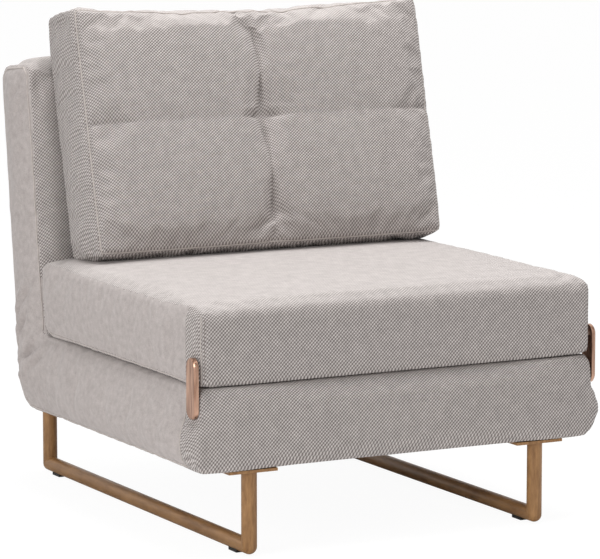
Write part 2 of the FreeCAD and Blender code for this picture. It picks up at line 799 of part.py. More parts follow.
def toothed_sector(x, y, z, low_angle, high_angle):
    """A sector with ratchet notches in its rim, around the recline axis."""
    rim = number("ratchet_radius")
    root = rim - number("tooth_depth")
    step = number("tooth_step")
    angle = low_angle
    outline = [(0.0, 0.0)]
    while angle + step <= high_angle:
        outline.append(polar(rim, angle))
        outline.append(polar(rim, angle + step * 0.45))
        outline.append(polar(root, angle + step * 0.5))
        angle += step
    outline.append(polar(rim, angle))
    spots = [Vector(x, y + dy, z + dz) for dy, dz in outline]
    return Part.Face(Part.makePolygon(spots + spots[:1])).extrude(Vector(number("recliner_plate"), 0, 0))


def fixed_plate():
    x, y, z = number("fixed_inner"), number("recline_y"), number("recline_z")
    thick, eye = number("recliner_plate"), number("recliner_eye")
    low = number("base_frame_low")
    rear = number("base_frame_rear")
    arm = [
        Vector(x, y - eye, z),
        Vector(x, rear - number("fixed_reach"), low + number("frame_tube")),
        Vector(x, rear - number("fixed_reach"), low),
        Vector(x, rear, low),
        Vector(x, y + 2, z - eye - 30),
        Vector(x, y + 2, z),
    ]
    web = Part.Face(Part.makePolygon(arm + arm[:1])).extrude(Vector(thick, 0, 0))
    sector = toothed_sector(x, y, z, -78, 12)
    plate = web.fuse([cylinder_x(eye, x, x + thick, y, z), sector])
    bore = cylinder_x(number("recliner_pin") / 2, x - 1, x + thick + 1, y, z)
    return plate.cut(bore).removeSplitter()


def moving_plate():
    """In the back's own frame: depth runs along the back, height towards its front."""
    x = number("moving_inner")
    thick, eye = number("recliner_plate"), number("recliner_eye")
    sink, tube = number("back_frame_sink"), number("frame_tube")
    low = number("back_frame_low")
    arm = [
        Vector(x, -eye * 0.7, -eye * 0.7),
        Vector(x, eye * 0.7, eye * 0.7),
        Vector(x, low + number("moving_reach"), -sink + tube / 2),
        Vector(x, low + number("moving_reach"), -sink - tube / 2),
        Vector(x, low, -sink - tube / 2),
    ]
    web = Part.Face(Part.makePolygon(arm + arm[:1])).extrude(Vector(thick, 0, 0))
    plate = web.fuse(cylinder_x(eye, x, x + thick, 0, 0))
    bore = cylinder_x(number("recliner_pin") / 2, x - 1, x + thick + 1, 0, 0)
    return plate.cut(bore).removeSplitter()


def pawl():
    """A wedge on the moving plate that drops into the teeth's rim."""
    inner = number("fixed_inner")
    reach = number("recliner_plate") + number("recliner_space") - 0.2
    near = number("ratchet_radius") + number("pawl_gap")
    far = near + number("pawl_high")
    half = number("pawl_wide") / 2
    wedge = [
        Vector(inner, near, 0),
        Vector(inner, near + 3, half),
        Vector(inner, far, half),
        Vector(inner, far, -half),
        Vector(inner, near + 3, -half),
    ]
    shape = Part.Face(Part.makePolygon(wedge + wedge[:1])).extrude(Vector(reach, 0, 0))
    shape.rotate(Vector(), Vector(1, 0, 0), -number("pawl_angle"))
    return shape


keep(soft("fixed_plate_pair", Part.makeCompound(both_sides(fixed_plate()))), "recliner_fixed_plates")
moving_plates = Part.makeCompound(both_sides(moving_plate()))
keep(soft("moving_plate_pair", moving_plates), "recliner_moving_plates", "back")
keep(soft("pawl_pair", Part.makeCompound(both_sides(pawl()))), "recliner_pawls", "back")

recliner_pins = []
for side_name, side in SIDES:
    centre = ("recline_y", "recline_z")
    shank_x = start_x(side, "fixed_inner - 1", "13")
    pin_radius = "recliner_pin / 2 - pin_play"
    recliner_pins.append(rod(f"recliner_pin_{side_name}", pin_radius, "13", (shank_x, *centre), "x"))
keep(group("recliner_pin_group", recliner_pins), "recliner_pins")


# Covers and foams of the three sections


def section_cover(outline, rounds, bulges, room, room_rounds, cuts):
    """A crowned outer form with a plain room inside for the foam and frame."""
    shell = crowned_pad(outline, rounds, bulges, section_stations())
    shell = shell.cut(prism(room, room_rounds, number("inner_half")))
    for tool in cuts:
        shell = shell.cut(tool)
    return shell


wall = number("cover_wall")
tuck = number("cover_tuck")
inner_half = number("inner_half")
foam_half = inner_half - number("foam_gap")
gap = number("foam_gap")
slot = number("plate_slot")
slot_inner = number("frame_half") - 1.5
slot_outer = slot_inner + number("bracket_thick") + slot
clip_inner = number("frame_half") - 9
pin_outer = number("frame_half") + 16
doc.recompute()
pin_tool = pin_room.Shape

# Lower section, open at its rear end, where the cover runs on into the corner gusset
low, high = number("leg_height"), number("split_z")
base_rear = number("recline_y") - number("end_gap")
base_outline = [(0, low), (base_rear, low), (base_rear, high), (0, high)]
base_rounds = [number("base_edge_round"), 0, number("valley_round"), number("rolling_round")]
open_end = base_rear + 10
base_room = [(tuck, low + wall), (open_end, low + wall), (open_end, high - wall), (tuck, high - wall)]
base_room_rounds = [7, 0, 0, 12]
base_cover = section_cover(
    base_outline,
    base_rounds,
    [0, 0, 0, number("front_crown")],
    base_room,
    base_room_rounds,
    [pin_tool],
)
keep(soft("base_cover_form", base_cover), "base_cover")

foam_low = number("base_frame_low") + number("frame_tube") + gap
base_foam_outline = [
    (tuck + gap, foam_low),
    (base_rear - 2, foam_low),
    (base_rear - 2, high - wall - gap),
    (tuck + gap, high - wall - gap),
]
base_foam = prism(base_foam_outline, [0, 0, number("valley_round"), 12], foam_half)
slot_room = number("slot_room")
slot_rear = number("bracket_reach") + slot_room
slot_front = number("base_frame_rear") - number("fixed_reach") - slot_room
front_slots = both_sides(block(clip_inner, slot_outer, 0, slot_rear, 0, high - 20))
rear_slots = both_sides(block(slot_inner, pin_outer, slot_front, base_rear + 9, 0, high))
for tool in front_slots + rear_slots + [pin_tool]:
    base_foam = base_foam.cut(tool)
keep(soft("base_foam_form", base_foam), "base_foam")

# Seat section, with a bay for the drop legs behind its upper edge
low, high = number("seat_low"), number("seat_high")
rear = number("seat_depth")
heel = rear - (high - low) * math.tan(math.radians(number("back_lean")))
seat_outline = [(0, low), (heel, low), (rear, high), (0, high)]
seat_rounds = [
    number("rolling_round"),
    number("seat_heel_round"),
    number("seat_rear_round"),
    number("seat_edge_round"),
]
room_rear = number("seat_frame_rear") + 1
seat_room = [(tuck, low + wall), (room_rear, low + wall), (room_rear, high - wall), (tuck, high - wall)]
bay_half = number("leg_bay_half")
bay = block(
    -bay_half, bay_half, number("leg_bay_depth"), rear + 20, number("leg_bay_floor"), high + 30
)
slot_half = number("seat_leg_pin") / 2 + number("pin_hole_play")
slot_x, slot_z = number("seat_leg_offset"), number("seat_leg_z")
leg_pin_slots = both_sides(
    block(
        slot_x - slot_half, slot_x + slot_half, room_rear - 5, rear, slot_z - slot_half, slot_z + slot_half
    )
)
seat_cover = section_cover(
    seat_outline,
    seat_rounds,
    [0, 0, number("seat_crown"), number("front_crown")],
    seat_room,
    [12, 4, 4, 11],
    [pin_tool, bay] + leg_pin_slots,
)
keep(soft("seat_cover_form", seat_cover), "seat_cover")

frame_low = number("seat_frame_low")
frame_high = frame_low + number("frame_tube")
seat_foam_lower = prism(
    [
        (tuck + gap, low + wall + gap),
        (room_rear - gap, low + wall + gap),
        (room_rear - gap, frame_low - gap),
        (tuck + gap, frame_low - gap),
    ],
    [12, 3, 0, 0],
    foam_half,
)
seat_slots = both_sides(block(clip_inner, slot_outer, 0, slot_rear, low + 15, frame_high))
for tool in seat_slots + [pin_tool]:
    seat_foam_lower = seat_foam_lower.cut(tool)
seat_foam_upper = prism(
    [
        (tuck + gap, frame_high + gap),
        (room_rear - gap, frame_high + gap),
        (room_rear - gap, high - wall - gap),
        (tuck + gap, high - wall - gap),
    ],
    [0, 0, 3, 11],
    foam_half,
)
keep(soft("seat_foam_lower_form", seat_foam_lower), "seat_foam_lower")
keep(soft("seat_foam_upper_form", seat_foam_upper), "seat_foam_upper")

# Back section, in its own frame: depth along the back, height towards its front
front = number("hinge_depth")
behind = front - number("back_thick")
end = number("end_gap")
top = number("back_length")
back_outline = [(end, behind), (top, behind), (top, front), (end, front)]
back_rounds = [
    0,
    number("back_rear_round"),
    number("back_top_round"),
    number("valley_round"),
]
open_end, closed_end = end - 10, top - tuck
back_room = [
    (open_end, behind + wall),
    (closed_end, behind + wall),
    (closed_end, front - wall),
    (open_end, front - wall),
]
crown = number("back_crown")
back_cover = section_cover(
    back_outline,
    back_rounds,
    [crown * 0.5, crown, crown, 0],
    back_room,
    [0, 20, 16, 0],
    [],
)
keep(soft("back_cover_form", back_cover), "back_cover", "back")

sink, tube = number("back_frame_sink"), number("frame_tube")
pad_start = end + 2
back_foam = prism(
    [
        (pad_start, -sink + tube / 2 + gap),
        (top - tuck - gap, -sink + tube / 2 + gap),
        (top - tuck - gap, front - wall - gap),
        (pad_start, front - wall - gap),
    ],
    [0, 0, 16, number("valley_round")],
    foam_half,
)
rear_pad = prism(
    [
        (pad_start, behind + wall + gap),
        (top - tuck - gap, behind + wall + gap),
        (top - tuck - gap, -sink - tube / 2 - gap),
        (pad_start, -sink - tube / 2 - gap),
    ],
    [0, 21, 0, 0],
    foam_half,
)
slot_end = number("back_frame_low") + number("moving_reach") + slot_room
back_slots = both_sides(block(slot_inner, pin_outer, -number("moving_reach"), slot_end, behind, front + 1))
for tool in back_slots:
    back_foam = back_foam.cut(tool)
    rear_pad = rear_pad.cut(tool)
keep(soft("back_foam_form", back_foam), "back_foam", "back")
keep(soft("back_rear_pad_form", rear_pad), "back_rear_pad", "back")

# Corner gusset: the stretch of the shared cover that bends round the outer lower corner
lean = math.tan(math.radians(number("back_lean")))
cosine = math.cos(math.radians(number("back_lean")))
axis_y, axis_z = number("recline_y"), number("recline_z")
deep = number("back_thick") - number("hinge_depth")
gusset_front = axis_y + 0.2
gusset_low = number("leg_height") + gap
gusset_top = axis_z + end / cosine - 1.0
rear_at_axis = axis_y + deep / cosine
rear_low = rear_at_axis - (axis_z - gusset_low) * lean - 0.4
rear_high_z = axis_z - deep * math.sin(math.radians(number("back_lean"))) - 1.0
rear_high = rear_at_axis - (axis_z - rear_high_z) * lean - 0.4
gusset = crowned_pad(
    [
        (gusset_front, gusset_low),
        (rear_low, gusset_low),
        (rear_high, rear_high_z),
        (gusset_front, gusset_top),
    ],
    [0, number("gusset_round"), 0, 0],
    [0, 0, 0, 0],
    [(x, inset * 0.4, crown) for x, inset, crown in section_stations()],
)
for tool in both_sides(
    block(slot_inner, pin_outer, gusset_front - 5, axis_y + 48, axis_z - 48, axis_z + 20)
):
    gusset = gusset.cut(tool)
keep(soft("corner_gusset_form", gusset), "corner_gusset")


# Seat's drop legs and their pivots


def seat_leg(side_name, side):
    """A square tube with an eye at its pivot, lying inwards in its bay."""
    inward = -side
    reach = "seat_leg_reach"
    pivot = (f"{side} * seat_leg_offset", "seat_leg_depth", "seat_leg_z")
    long = f"{reach} - foot_wall - seat_leg_eye / 2"
    near = f"{pivot[0]} + {inward} * seat_leg_eye / 2"
    x = near if inward > 0 else f"{near} - ({long})"
    square = "seat_leg_tube"
    corner = (x, f"{pivot[1]} - {square} / 2", f"{pivot[2]} - {square} / 2")
    tube = box(f"drop_tube_{side_name}", (long, square, square), corner)
    eye_start = (pivot[0], "seat_leg_depth - seat_leg_tube / 2", pivot[2])
    eye = rod(f"drop_eye_{side_name}", "seat_leg_eye", "seat_leg_tube", eye_start, "y")
    bore_start = (pivot[0], "seat_leg_depth - seat_leg_tube", pivot[2])
    bore = rod(
        f"drop_bore_{side_name}", "seat_leg_pin / 2 + pin_play", "2 * seat_leg_tube", bore_start, "y"
    )
    leg = cut(f"drop_leg_{side_name}", fuse(f"drop_solid_{side_name}", [tube, eye]), bore)
    keep(leg, "seat_leg_" + side_name)
    cap_x = (
        f"{pivot[0]} + {reach} - foot_cap" if inward > 0 else f"{pivot[0]} - ({reach})"
    )
    wide = "(seat_leg_tube + 2 * foot_wall)"
    cap_corner = (cap_x, f"{pivot[1]} - {wide} / 2", f"{pivot[2]} - {wide} / 2")
    cap = box(f"drop_foot_{side_name}", ("foot_cap", wide, wide), cap_corner)
    keep(cut(f"drop_cap_{side_name}", cap, tube), "seat_leg_foot_" + side_name)


for side_name, side in SIDES:
    seat_leg(side_name, side)

pivots = []
for side_name, side in SIDES:
    x = f"{side} * seat_leg_offset"
    start = (x, "seat_frame_rear - frame_tube / 2", "seat_leg_z")
    long = "seat_leg_depth + seat_leg_tube / 2 - seat_frame_rear + frame_tube / 2 + 0.5"
    pivots.append(rod(f"drop_pin_{side_name}", "seat_leg_pin / 2", long, start, "y"))
keep(group("drop_pivot_group", pivots), "seat_leg_pivots")


# Back's hoop leg, hanging plumb from its pivots


def hoop_frame(half_tube):
    """Two posts and a floor bar, as three bars of square section joined at their corners."""
    half, drop, rise = number("hoop_half"), number("hoop_drop"), number("hoop_rise")
    wall = number("hoop_tube") / 2 - half_tube
    post = block(half - half_tube, half + half_tube, -half_tube, half_tube, -drop - half_tube, rise - wall)
    bar = block(-half, half, -half_tube, half_tube, -drop - half_tube, -drop + half_tube)
    return bar.fuse(both_sides(post)).removeSplitter()


hoop_half = number("hoop_half")
hoop = hoop_frame(number("hoop_tube") / 2).cut(hoop_frame(number("hoop_tube") / 2 - number("frame_wall")))
pin_bore = number("hoop_pin") / 2 + number("pin_play")
for x in (-hoop_half, hoop_half):
    hoop = hoop.cut(cylinder_x(pin_bore, x - number("hoop_tube"), x + number("hoop_tube"), 0, 0))
keep(soft("hoop_form", hoop), "back_leg", "hoop")

feet = []
for side_name, side in SIDES:
    foot_x = f"{side} * hoop_half * 0.7 - hoop_foot_long / 2"
    foot_z = "-hoop_drop - hoop_tube / 2 - hoop_foot"
    feet.append(
        box(
            f"hoop_foot_{side_name}",
            ("hoop_foot_long", "hoop_tube", "hoop_foot"),
            (foot_x, "-hoop_tube / 2", foot_z),
        )
    )
keep(group("hoop_feet", feet), "back_leg_feet", "hoop")

ears = []
hoop_pins = []
ear_gap = "(hoop_tube / 2 + ear_play)"
for side_name, side in SIDES:
    middle = f"{side} * hoop_half"
    plate_low = "-hoop_sink + hoop_clear - ear_plate - ear_seat"
    plate = box(
        f"ear_plate_{side_name}",
        ("ear_long", "ear_wide", "ear_plate"),
        (f"{middle} - ear_long / 2", "hoop_along - ear_wide / 2", plate_low),
    )
    pieces = [plate]
    for step in (-1, 1):
        x = start_x(step, ear_gap, "ear_thick")
        lug = box(
            f"ear_lug_{side_name}_{step}",
            ("ear_thick", "lug_wide", "hoop_clear - ear_seat"),
            (f"{middle} + ({x})", "hoop_along - lug_wide / 2", "-hoop_sink"),
        )
        tip_start = (f"{middle} + ({x})", "hoop_along", "-hoop_sink")
        pieces += [lug, rod(f"ear_tip_{side_name}_{step}", "lug_wide / 2", "ear_thick", tip_start, "x")]
    pin_long = f"2 * ({ear_gap} + ear_thick + ear_play)"
    pin_start = (f"{middle} - ({pin_long}) / 2", "hoop_along", "-hoop_sink")
    bore = rod(f"ear_bore_{side_name}", "hoop_pin / 2", pin_long, pin_start, "x")
    ears.append(cut(f"ear_{side_name}", fuse(f"ear_solid_{side_name}", pieces), bore))
    hoop_pins.append(rod(f"hoop_pin_{side_name}", "hoop_pin / 2", pin_long, pin_start, "x"))
keep(group("ear_group", ears), "back_leg_brackets", "back")
keep(group("hoop_pin_group", hoop_pins), "back_leg_pins", "back")


# Loose pillow, in its own frame: height runs up its face from the lower rear edge


def pillow_wire(x, inset, crown, seam):
    thick, high = number("pillow_thick"), number("pillow_high")
    edge = number("pillow_round")
    front_y = -thick + inset
    corners = [
        (front_y, inset),
        (-inset, inset),
        (-inset, high - inset),
        (front_y, high - inset),
        (front_y - number("pillow_seam") * seam, high / 2),
    ]
    quarter = number("pillow_crown") * crown
    bulges = [0, number("pillow_rear_crown") * crown, 0, quarter, quarter]
    return rounded_profile(x, corners, [edge, edge, edge, edge, 0], bulges)


edge = number("pillow_wide")
side = number("pillow_side")
pillow_stations = [
    (edge * 0.86, 0.0, 1.0, 1.3),
    (edge + side * 0.35, side * 0.08, 0.35, 0.3),
    (edge + side, side * 0.6, 0.0, 0.0),
]
mirrored = [(-x, inset, crown, seam) for x, inset, crown, seam in reversed(pillow_stations)]
pillow_wires = [pillow_wire(*station) for station in mirrored + pillow_stations]
pillow_form = Part.makeLoft(pillow_wires, True, True)
valley_front = -number("pillow_thick") - number("pillow_crown") - number("pillow_seam")
valley_floor = -number("pillow_thick") - number("pillow_seam") * 0.6
valley_half = number("valley_wide") / 2
valley = [
    Vector(-valley_half, valley_front, -1),
    Vector(valley_half, valley_front, -1),
    Vector(0, valley_floor, -1),
]
valley_face = Part.Face(Part.makePolygon(valley + valley[:1]))
pillow_form = pillow_form.cut(valley_face.extrude(Vector(0, 0, number("pillow_high") + 2)))
skin = number("pillow_wall")
thick, high = number("pillow_thick"), number("pillow_high")
pillow_half = edge + side * 0.15
pillow_room = [(-thick + skin, skin), (-skin, skin), (-skin, high - skin), (-thick + skin, high - skin)]
pillow_cover = pillow_form.cut(prism(pillow_room, [12, 12, 12, 12], pillow_half))
zip_half, zip_wide, zip_thick = number("zip_half"), number("zip_wide"), number("zip_thick")
zip_y = -number("zip_inset")
zip_groove = block(-zip_half, zip_half, zip_y - zip_wide / 2, zip_y + zip_wide / 2, -6, zip_thick)
keep(soft("pillow_cover_form", pillow_cover.cut(zip_groove)), "pillow_cover", "pillow")
filling = prism(
    [(y + math.copysign(gap, -y - thick / 2), z + math.copysign(gap, high / 2 - z)) for y, z in pillow_room],
    [11, 11, 11, 11],
    pillow_half - gap,
)
keep(soft("pillow_filling_form", filling), "pillow_filling", "pillow")
tape = box(
    "zip_tape",
    ("2 * zip_half", "zip_wide", "zip_thick"),
    ("-zip_half", "-zip_inset - zip_wide / 2", "0"),
)
keep(group("zip_tape_group", [tape]), "pillow_zip_tape", "pillow")

slider_x = "-zip_half + zip_stop"
slider = box(
    "slider_block",
    ("slider_long", "slider_wide", "slider_high"),
    (slider_x, "-zip_inset - slider_wide / 2", "-slider_high - 0.2"),
)
keep(group("slider_group", [slider]), "zip_slider", "pillow")
pull = box(
    "pull_tab",
    ("pull_long", "slider_wide * 0.7", "1.2"),
    (f"{slider_x} + 3", "-zip_inset - slider_wide * 0.35", "-slider_high - 1.6"),
)
keep(group("pull_group", [pull]), "zip_pull", "pillow")

# Check everything and write one file for each sub-part
doc.recompute()

faults = [item.Name for item in doc.Objects if "Invalid" in item.State or "Error" in item.State]
for item in made:
    if item.Shape.isNull() or not item.Shape.isValid() or not item.Shape.Solids:
        faults.append(item.Label)
if faults:
    raise RuntimeError("failed: " + ", ".join(faults))

os.makedirs("parts", exist_ok=True)
for item in made:
    item.Shape.exportStep(os.path.join("parts", item.Label + ".step"))
print(len(made), "sub-parts,", sum(len(item.Shape.Solids) for item in made), "solids")
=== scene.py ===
# %% [markdown]
# # A convertible chair bed
# The chair is a folded bed: a lower mattress section and a back section share one cover, a
# second section lies on the lower one and turns over on two copper straps, and a loose
# pillow leans on the back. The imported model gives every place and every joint, so each cell
# below only adds what a solid can't have: fabric that swells between its seams, creases,
# stitching, wood grain and brushed metal.

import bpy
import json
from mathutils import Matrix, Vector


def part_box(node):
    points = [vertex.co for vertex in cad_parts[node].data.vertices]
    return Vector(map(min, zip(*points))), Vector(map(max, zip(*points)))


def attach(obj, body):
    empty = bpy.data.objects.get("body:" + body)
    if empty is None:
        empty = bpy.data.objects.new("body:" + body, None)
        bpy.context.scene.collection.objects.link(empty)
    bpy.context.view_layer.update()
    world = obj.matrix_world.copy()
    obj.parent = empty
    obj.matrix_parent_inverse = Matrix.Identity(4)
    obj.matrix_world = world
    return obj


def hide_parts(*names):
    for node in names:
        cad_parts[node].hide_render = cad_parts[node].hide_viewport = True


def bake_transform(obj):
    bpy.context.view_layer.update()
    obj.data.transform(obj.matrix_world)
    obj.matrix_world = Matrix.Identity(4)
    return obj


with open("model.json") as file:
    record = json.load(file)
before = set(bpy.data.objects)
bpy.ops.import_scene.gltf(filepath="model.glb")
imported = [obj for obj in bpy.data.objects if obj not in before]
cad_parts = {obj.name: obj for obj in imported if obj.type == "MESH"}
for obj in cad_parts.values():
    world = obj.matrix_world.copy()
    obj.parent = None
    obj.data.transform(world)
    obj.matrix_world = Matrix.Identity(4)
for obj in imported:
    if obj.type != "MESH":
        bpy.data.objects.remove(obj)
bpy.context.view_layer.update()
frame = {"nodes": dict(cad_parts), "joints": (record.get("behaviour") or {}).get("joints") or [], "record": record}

# %% [markdown]
# The meshes are shaped with bmesh and their points are moved with numpy. A search tree lays
# seams on a finished surface. Solids and joints of the frame are looked up by their names.

# %% Libraries
import json
import math

import bmesh
import bpy
import numpy as np
from mathutils import Matrix, Vector
from mathutils.bvhtree import BVHTree

scene = bpy.context.scene
nodes = frame["nodes"]
joints = {joint["name"]: joint for joint in frame["joints"]}
print(len(nodes), "solids, joints:", ", ".join(joints))

# %% [markdown]
# ## Camera
# The photograph was taken from the front left, a little above the seat, with a long lens.
# A perspective fit of the straight edges gave the direction, the distance and the small
# shift of the frame, so the camera is placed from those few numbers.

# %% Camera at the photograph's angle
def aim_camera(target, azimuth, elevation, distance, lens, shift):
    turn, rise = math.radians(azimuth), math.radians(elevation)
    away = Vector((math.sin(turn) * math.cos(rise), -math.cos(turn) * math.cos(rise), math.sin(rise)))
    data = bpy.data.cameras.new("camera")
    data.lens = lens
    data.sensor_width = 36
    data.shift_x, data.shift_y = shift
    camera = bpy.data.objects.new("camera", data)
    scene.collection.objects.link(camera)
    camera.location = Vector(target) + away * distance
    camera.rotation_euler = (-away).to_track_quat("-Z", "Y").to_euler()
    return camera


scene.camera = aim_camera(
    target=(0, -0.076, 0.4021),
    azimuth=-27.9,
    elevation=8.4,
    distance=6.6306,
    lens=222.89,
    shift=(-0.0082, 0.0065),
)
print("camera at", [round(value, 3) for value in scene.camera.location])

# %% [markdown]
# ## Studio
# A pale floor carries the chair and takes its soft shadow. It is one large flat disc, so
# that its rim lies far outside the picture.

# %% Floor
floor_radius = 14
bm = bmesh.new()
bmesh.ops.create_circle(bm, cap_ends=True, segments=64, radius=floor_radius)
floor_mesh = bpy.data.meshes.new("studio_floor")
bm.to_mesh(floor_mesh)
bm.free()
floor = bpy.data.objects.new("studio_floor", floor_mesh)
scene.collection.objects.link(floor)
print("floor radius", floor_radius, "m")

# %% [markdown]
# The floor is matt, nearly white paint. The background of the photograph is pure white, and
# more light would bleach the fabric. So most of what the camera sees of the floor is its own
# glow, and the rest is the lit paint, which keeps the shadow.

# %% Floor paint
glow_share = 0.9
paint = bpy.data.materials.new("studio_paint")
paint.use_nodes = True
tree = paint.node_tree
shader = tree.nodes["Principled BSDF"]
shader.inputs["Base Color"].default_value = (0.92, 0.92, 0.92, 1)
shader.inputs["Roughness"].default_value = 0.9
shader.inputs["Specular IOR Level"].default_value = 0.1
glow = tree.nodes.new("ShaderNodeEmission")
glow.inputs["Strength"].default_value = 1.05
share = tree.nodes.new("ShaderNodeMath")
share.operation = "MULTIPLY"
share.inputs[1].default_value = glow_share
rays = tree.nodes.new("ShaderNodeLightPath")
tree.links.new(rays.outputs["Is Camera Ray"], share.inputs[0])
lift = tree.nodes.new("ShaderNodeMixShader")
tree.links.new(share.outputs[0], lift.inputs[0])
tree.links.new(shader.outputs[0], lift.inputs[1])
tree.links.new(glow.outputs[0], lift.inputs[2])
tree.links.new(lift.outputs[0], tree.nodes["Material Output"].inputs["Surface"])
floor.data.materials.append(paint)
print("the floor shows", glow_share, "of its glow")

# %% [markdown]
# The world is white only on the rays that show it as the background: those from the camera,
# those off metal and those through glass. The small helper finds them.

# %% Rays that show the background
def plain_view(tree):
    """1 for rays from the camera, off a mirror or through glass, and 0 for all others."""
    rays = tree.nodes.new("ShaderNodeLightPath")
    found = rays.outputs["Is Camera Ray"]
    for kind in ("Is Glossy Ray", "Is Transmission Ray"):
        either = tree.nodes.new("ShaderNodeMath")
        either.operation = "MAXIMUM"
        tree.links.new(found, either.inputs[0])
        tree.links.new(rays.outputs[kind], either.inputs[1])
        found = either.outputs[0]
    return found

# %% [markdown]
# The world lights the chair evenly from all sides, at less than half of the white that it
# shows to the camera. That even part is what fills the shadows between the cushions.

# %% World
world = bpy.data.worlds.new("studio_world")
scene.world = world
world.use_nodes = True
tree = world.node_tree
tree.nodes.clear()
dim = tree.nodes.new("ShaderNodeBackground")
dim.inputs["Color"].default_value = (1.0, 0.99, 0.985, 1)
dim.inputs["Strength"].default_value = 0.46
white = tree.nodes.new("ShaderNodeBackground")
white.inputs["Color"].default_value = (1, 1, 1, 1)
white.inputs["Strength"].default_value = 1.0
choice = tree.nodes.new("ShaderNodeMixShader")
out = tree.nodes.new("ShaderNodeOutputWorld")
tree.links.new(plain_view(tree), choice.inputs[0])
tree.links.new(dim.outputs[0], choice.inputs[1])
tree.links.new(white.outputs[0], choice.inputs[2])
tree.links.new(choice.outputs[0], out.inputs[0])
print("world light", dim.inputs["Strength"].default_value)

# %% [markdown]
# In the photograph the tops are the brightest faces, the left sides come next and the
#  fronts are the darkest. A large round lamp above and a weaker one on the left give that, and on
#  the woven fabric a painted top light adds to the tops.

# %% Lamps
def area_lamp(name, place, aim, size, power):
    data = bpy.data.lights.new(name, "AREA")
    data.shape = "DISK"
    data.size = size
    data.energy = power
    lamp = bpy.data.objects.new(name, data)
    scene.collection.objects.link(lamp)
    lamp.location = place
    lamp.rotation_euler = (Vector(aim) - Vector(place)).to_track_quat("-Z", "Y").to_euler()
    return lamp


area_lamp("top_lamp", (0.2, -0.4, 3.6), (0, 0, 0.3), 2.6, 104)
area_lamp("left_lamp", (-3.4, -1.6, 1.6), (0, 0, 0.35), 1.6, 42)
print("lamps:", [lamp.name for lamp in bpy.data.lights])
scene.view_settings.view_transform = "Standard"

# %% [markdown]
# ## Fabric weave
# The cover is a chunky twill: ribs that rise to the right, crossed by a weaker set, so that
# small pale floats stand in a lattice a few millimetres apart. Two waves in object
# coordinates make it, each slanted against all three axes, so the same group works on the
# front, the top and the sides, and the pattern keeps its real size.

# %% Weave node group
def socket(group, name, kind, direction, default=None):
    made = group.interface.new_socket(name=name, socket_type=kind, in_out=direction)
    if default is not None:
        made.default_value = default
    return made


def math_node(tree, operation, first, second=None):
    node = tree.nodes.new("ShaderNodeMath")
    node.operation = operation
    for index, value in enumerate((first, second)):
        if value is None:
            continue
        if isinstance(value, (int, float)):
            node.inputs[index].default_value = value
        else:
            tree.links.new(value, node.inputs[index])
    return node.outputs[0]


def weave_group():
    group = bpy.data.node_groups.new("twill_weave", "ShaderNodeTree")
    socket(group, "Vector", "NodeSocketVector", "INPUT")
    socket(group, "Spacing", "NodeSocketFloat", "INPUT", 0.005)
    socket(group, "Slub", "NodeSocketFloat", "INPUT", 0.35)
    socket(group, "Height", "NodeSocketFloat", "OUTPUT")
    socket(group, "Float", "NodeSocketFloat", "OUTPUT")
    enter = group.nodes.new("NodeGroupInput")
    leave = group.nodes.new("NodeGroupOutput")
    noise = group.nodes.new("ShaderNodeTexNoise")
    noise.inputs["Scale"].default_value = 55
    noise.inputs["Detail"].default_value = 2
    group.links.new(enter.outputs["Vector"], noise.inputs["Vector"])
    split = group.nodes.new("ShaderNodeSeparateXYZ")
    group.links.new(enter.outputs["Vector"], split.inputs[0])
    rate = math_node(group, "DIVIDE", math.pi * math.sqrt(2), enter.outputs["Spacing"])
    x, y, z = split.outputs
    rising = math_node(group, "SUBTRACT", math_node(group, "SUBTRACT", x, z), y)
    half_depth = math_node(group, "MULTIPLY", y, 0.5)
    falling = math_node(group, "ADD", math_node(group, "ADD", x, z), half_depth)
    wander = math_node(group, "MULTIPLY", noise.outputs[0], enter.outputs["Slub"])
    rib = math_node(group, "ADD", math_node(group, "MULTIPLY", rising, rate), wander)
    cross = math_node(group, "MULTIPLY", falling, rate)
    ribs = math_node(group, "MULTIPLY", math_node(group, "SINE", rib), 0.3)
    crossings = math_node(group, "MULTIPLY", math_node(group, "SINE", cross), 0.2)
    height = math_node(group, "ADD", math_node(group, "ADD", ribs, crossings), 0.5)
    group.links.new(height, leave.inputs["Height"])
    crisp = group.nodes.new("ShaderNodeMapRange")
    crisp.interpolation_type = "SMOOTHSTEP"
    crisp.inputs["From Min"].default_value = 0.3
    crisp.inputs["From Max"].default_value = 0.8
    group.links.new(height, crisp.inputs["Value"])
    group.links.new(crisp.outputs[0], leave.inputs["Float"])
    return group


weave = weave_group()
print("weave group sockets:", [item.name for item in weave.interface.items_tree])

# %% [markdown]
# Fabric is never one flat colour. A second group gives the slow mottling of brushed pile,
# at two scales, and every finish below uses it with its own values.

# %% Mottle node group
def mottle_group():
    group = bpy.data.node_groups.new("mottle", "ShaderNodeTree")
    socket(group, "Vector", "NodeSocketVector", "INPUT")
    socket(group, "Coarse", "NodeSocketFloat", "INPUT", 7.0)
    socket(group, "Fine", "NodeSocketFloat", "INPUT", 260.0)
    socket(group, "Value", "NodeSocketFloat", "OUTPUT")
    enter = group.nodes.new("NodeGroupInput")
    leave = group.nodes.new("NodeGroupOutput")
    values = []
    for name, detail in (("Coarse", 3), ("Fine", 2)):
        noise = group.nodes.new("ShaderNodeTexNoise")
        noise.inputs["Detail"].default_value = detail
        group.links.new(enter.outputs["Vector"], noise.inputs["Vector"])
        group.links.new(enter.outputs[name], noise.inputs["Scale"])
        values.append(noise.outputs[0])
    mean = math_node(group, "MULTIPLY", math_node(group, "ADD", values[0], values[1]), 0.5)
    group.links.new(mean, leave.inputs["Value"])
    return group


mottle = mottle_group()
print("mottle group sockets:", [item.name for item in mottle.interface.items_tree])

# %% [markdown]
# A material is a Principled shader fed by those groups. The helpers below place a group,
# mix two colours, stretch a value over a new range and turn a height into a bump, so that
# each finish is only a few lines.

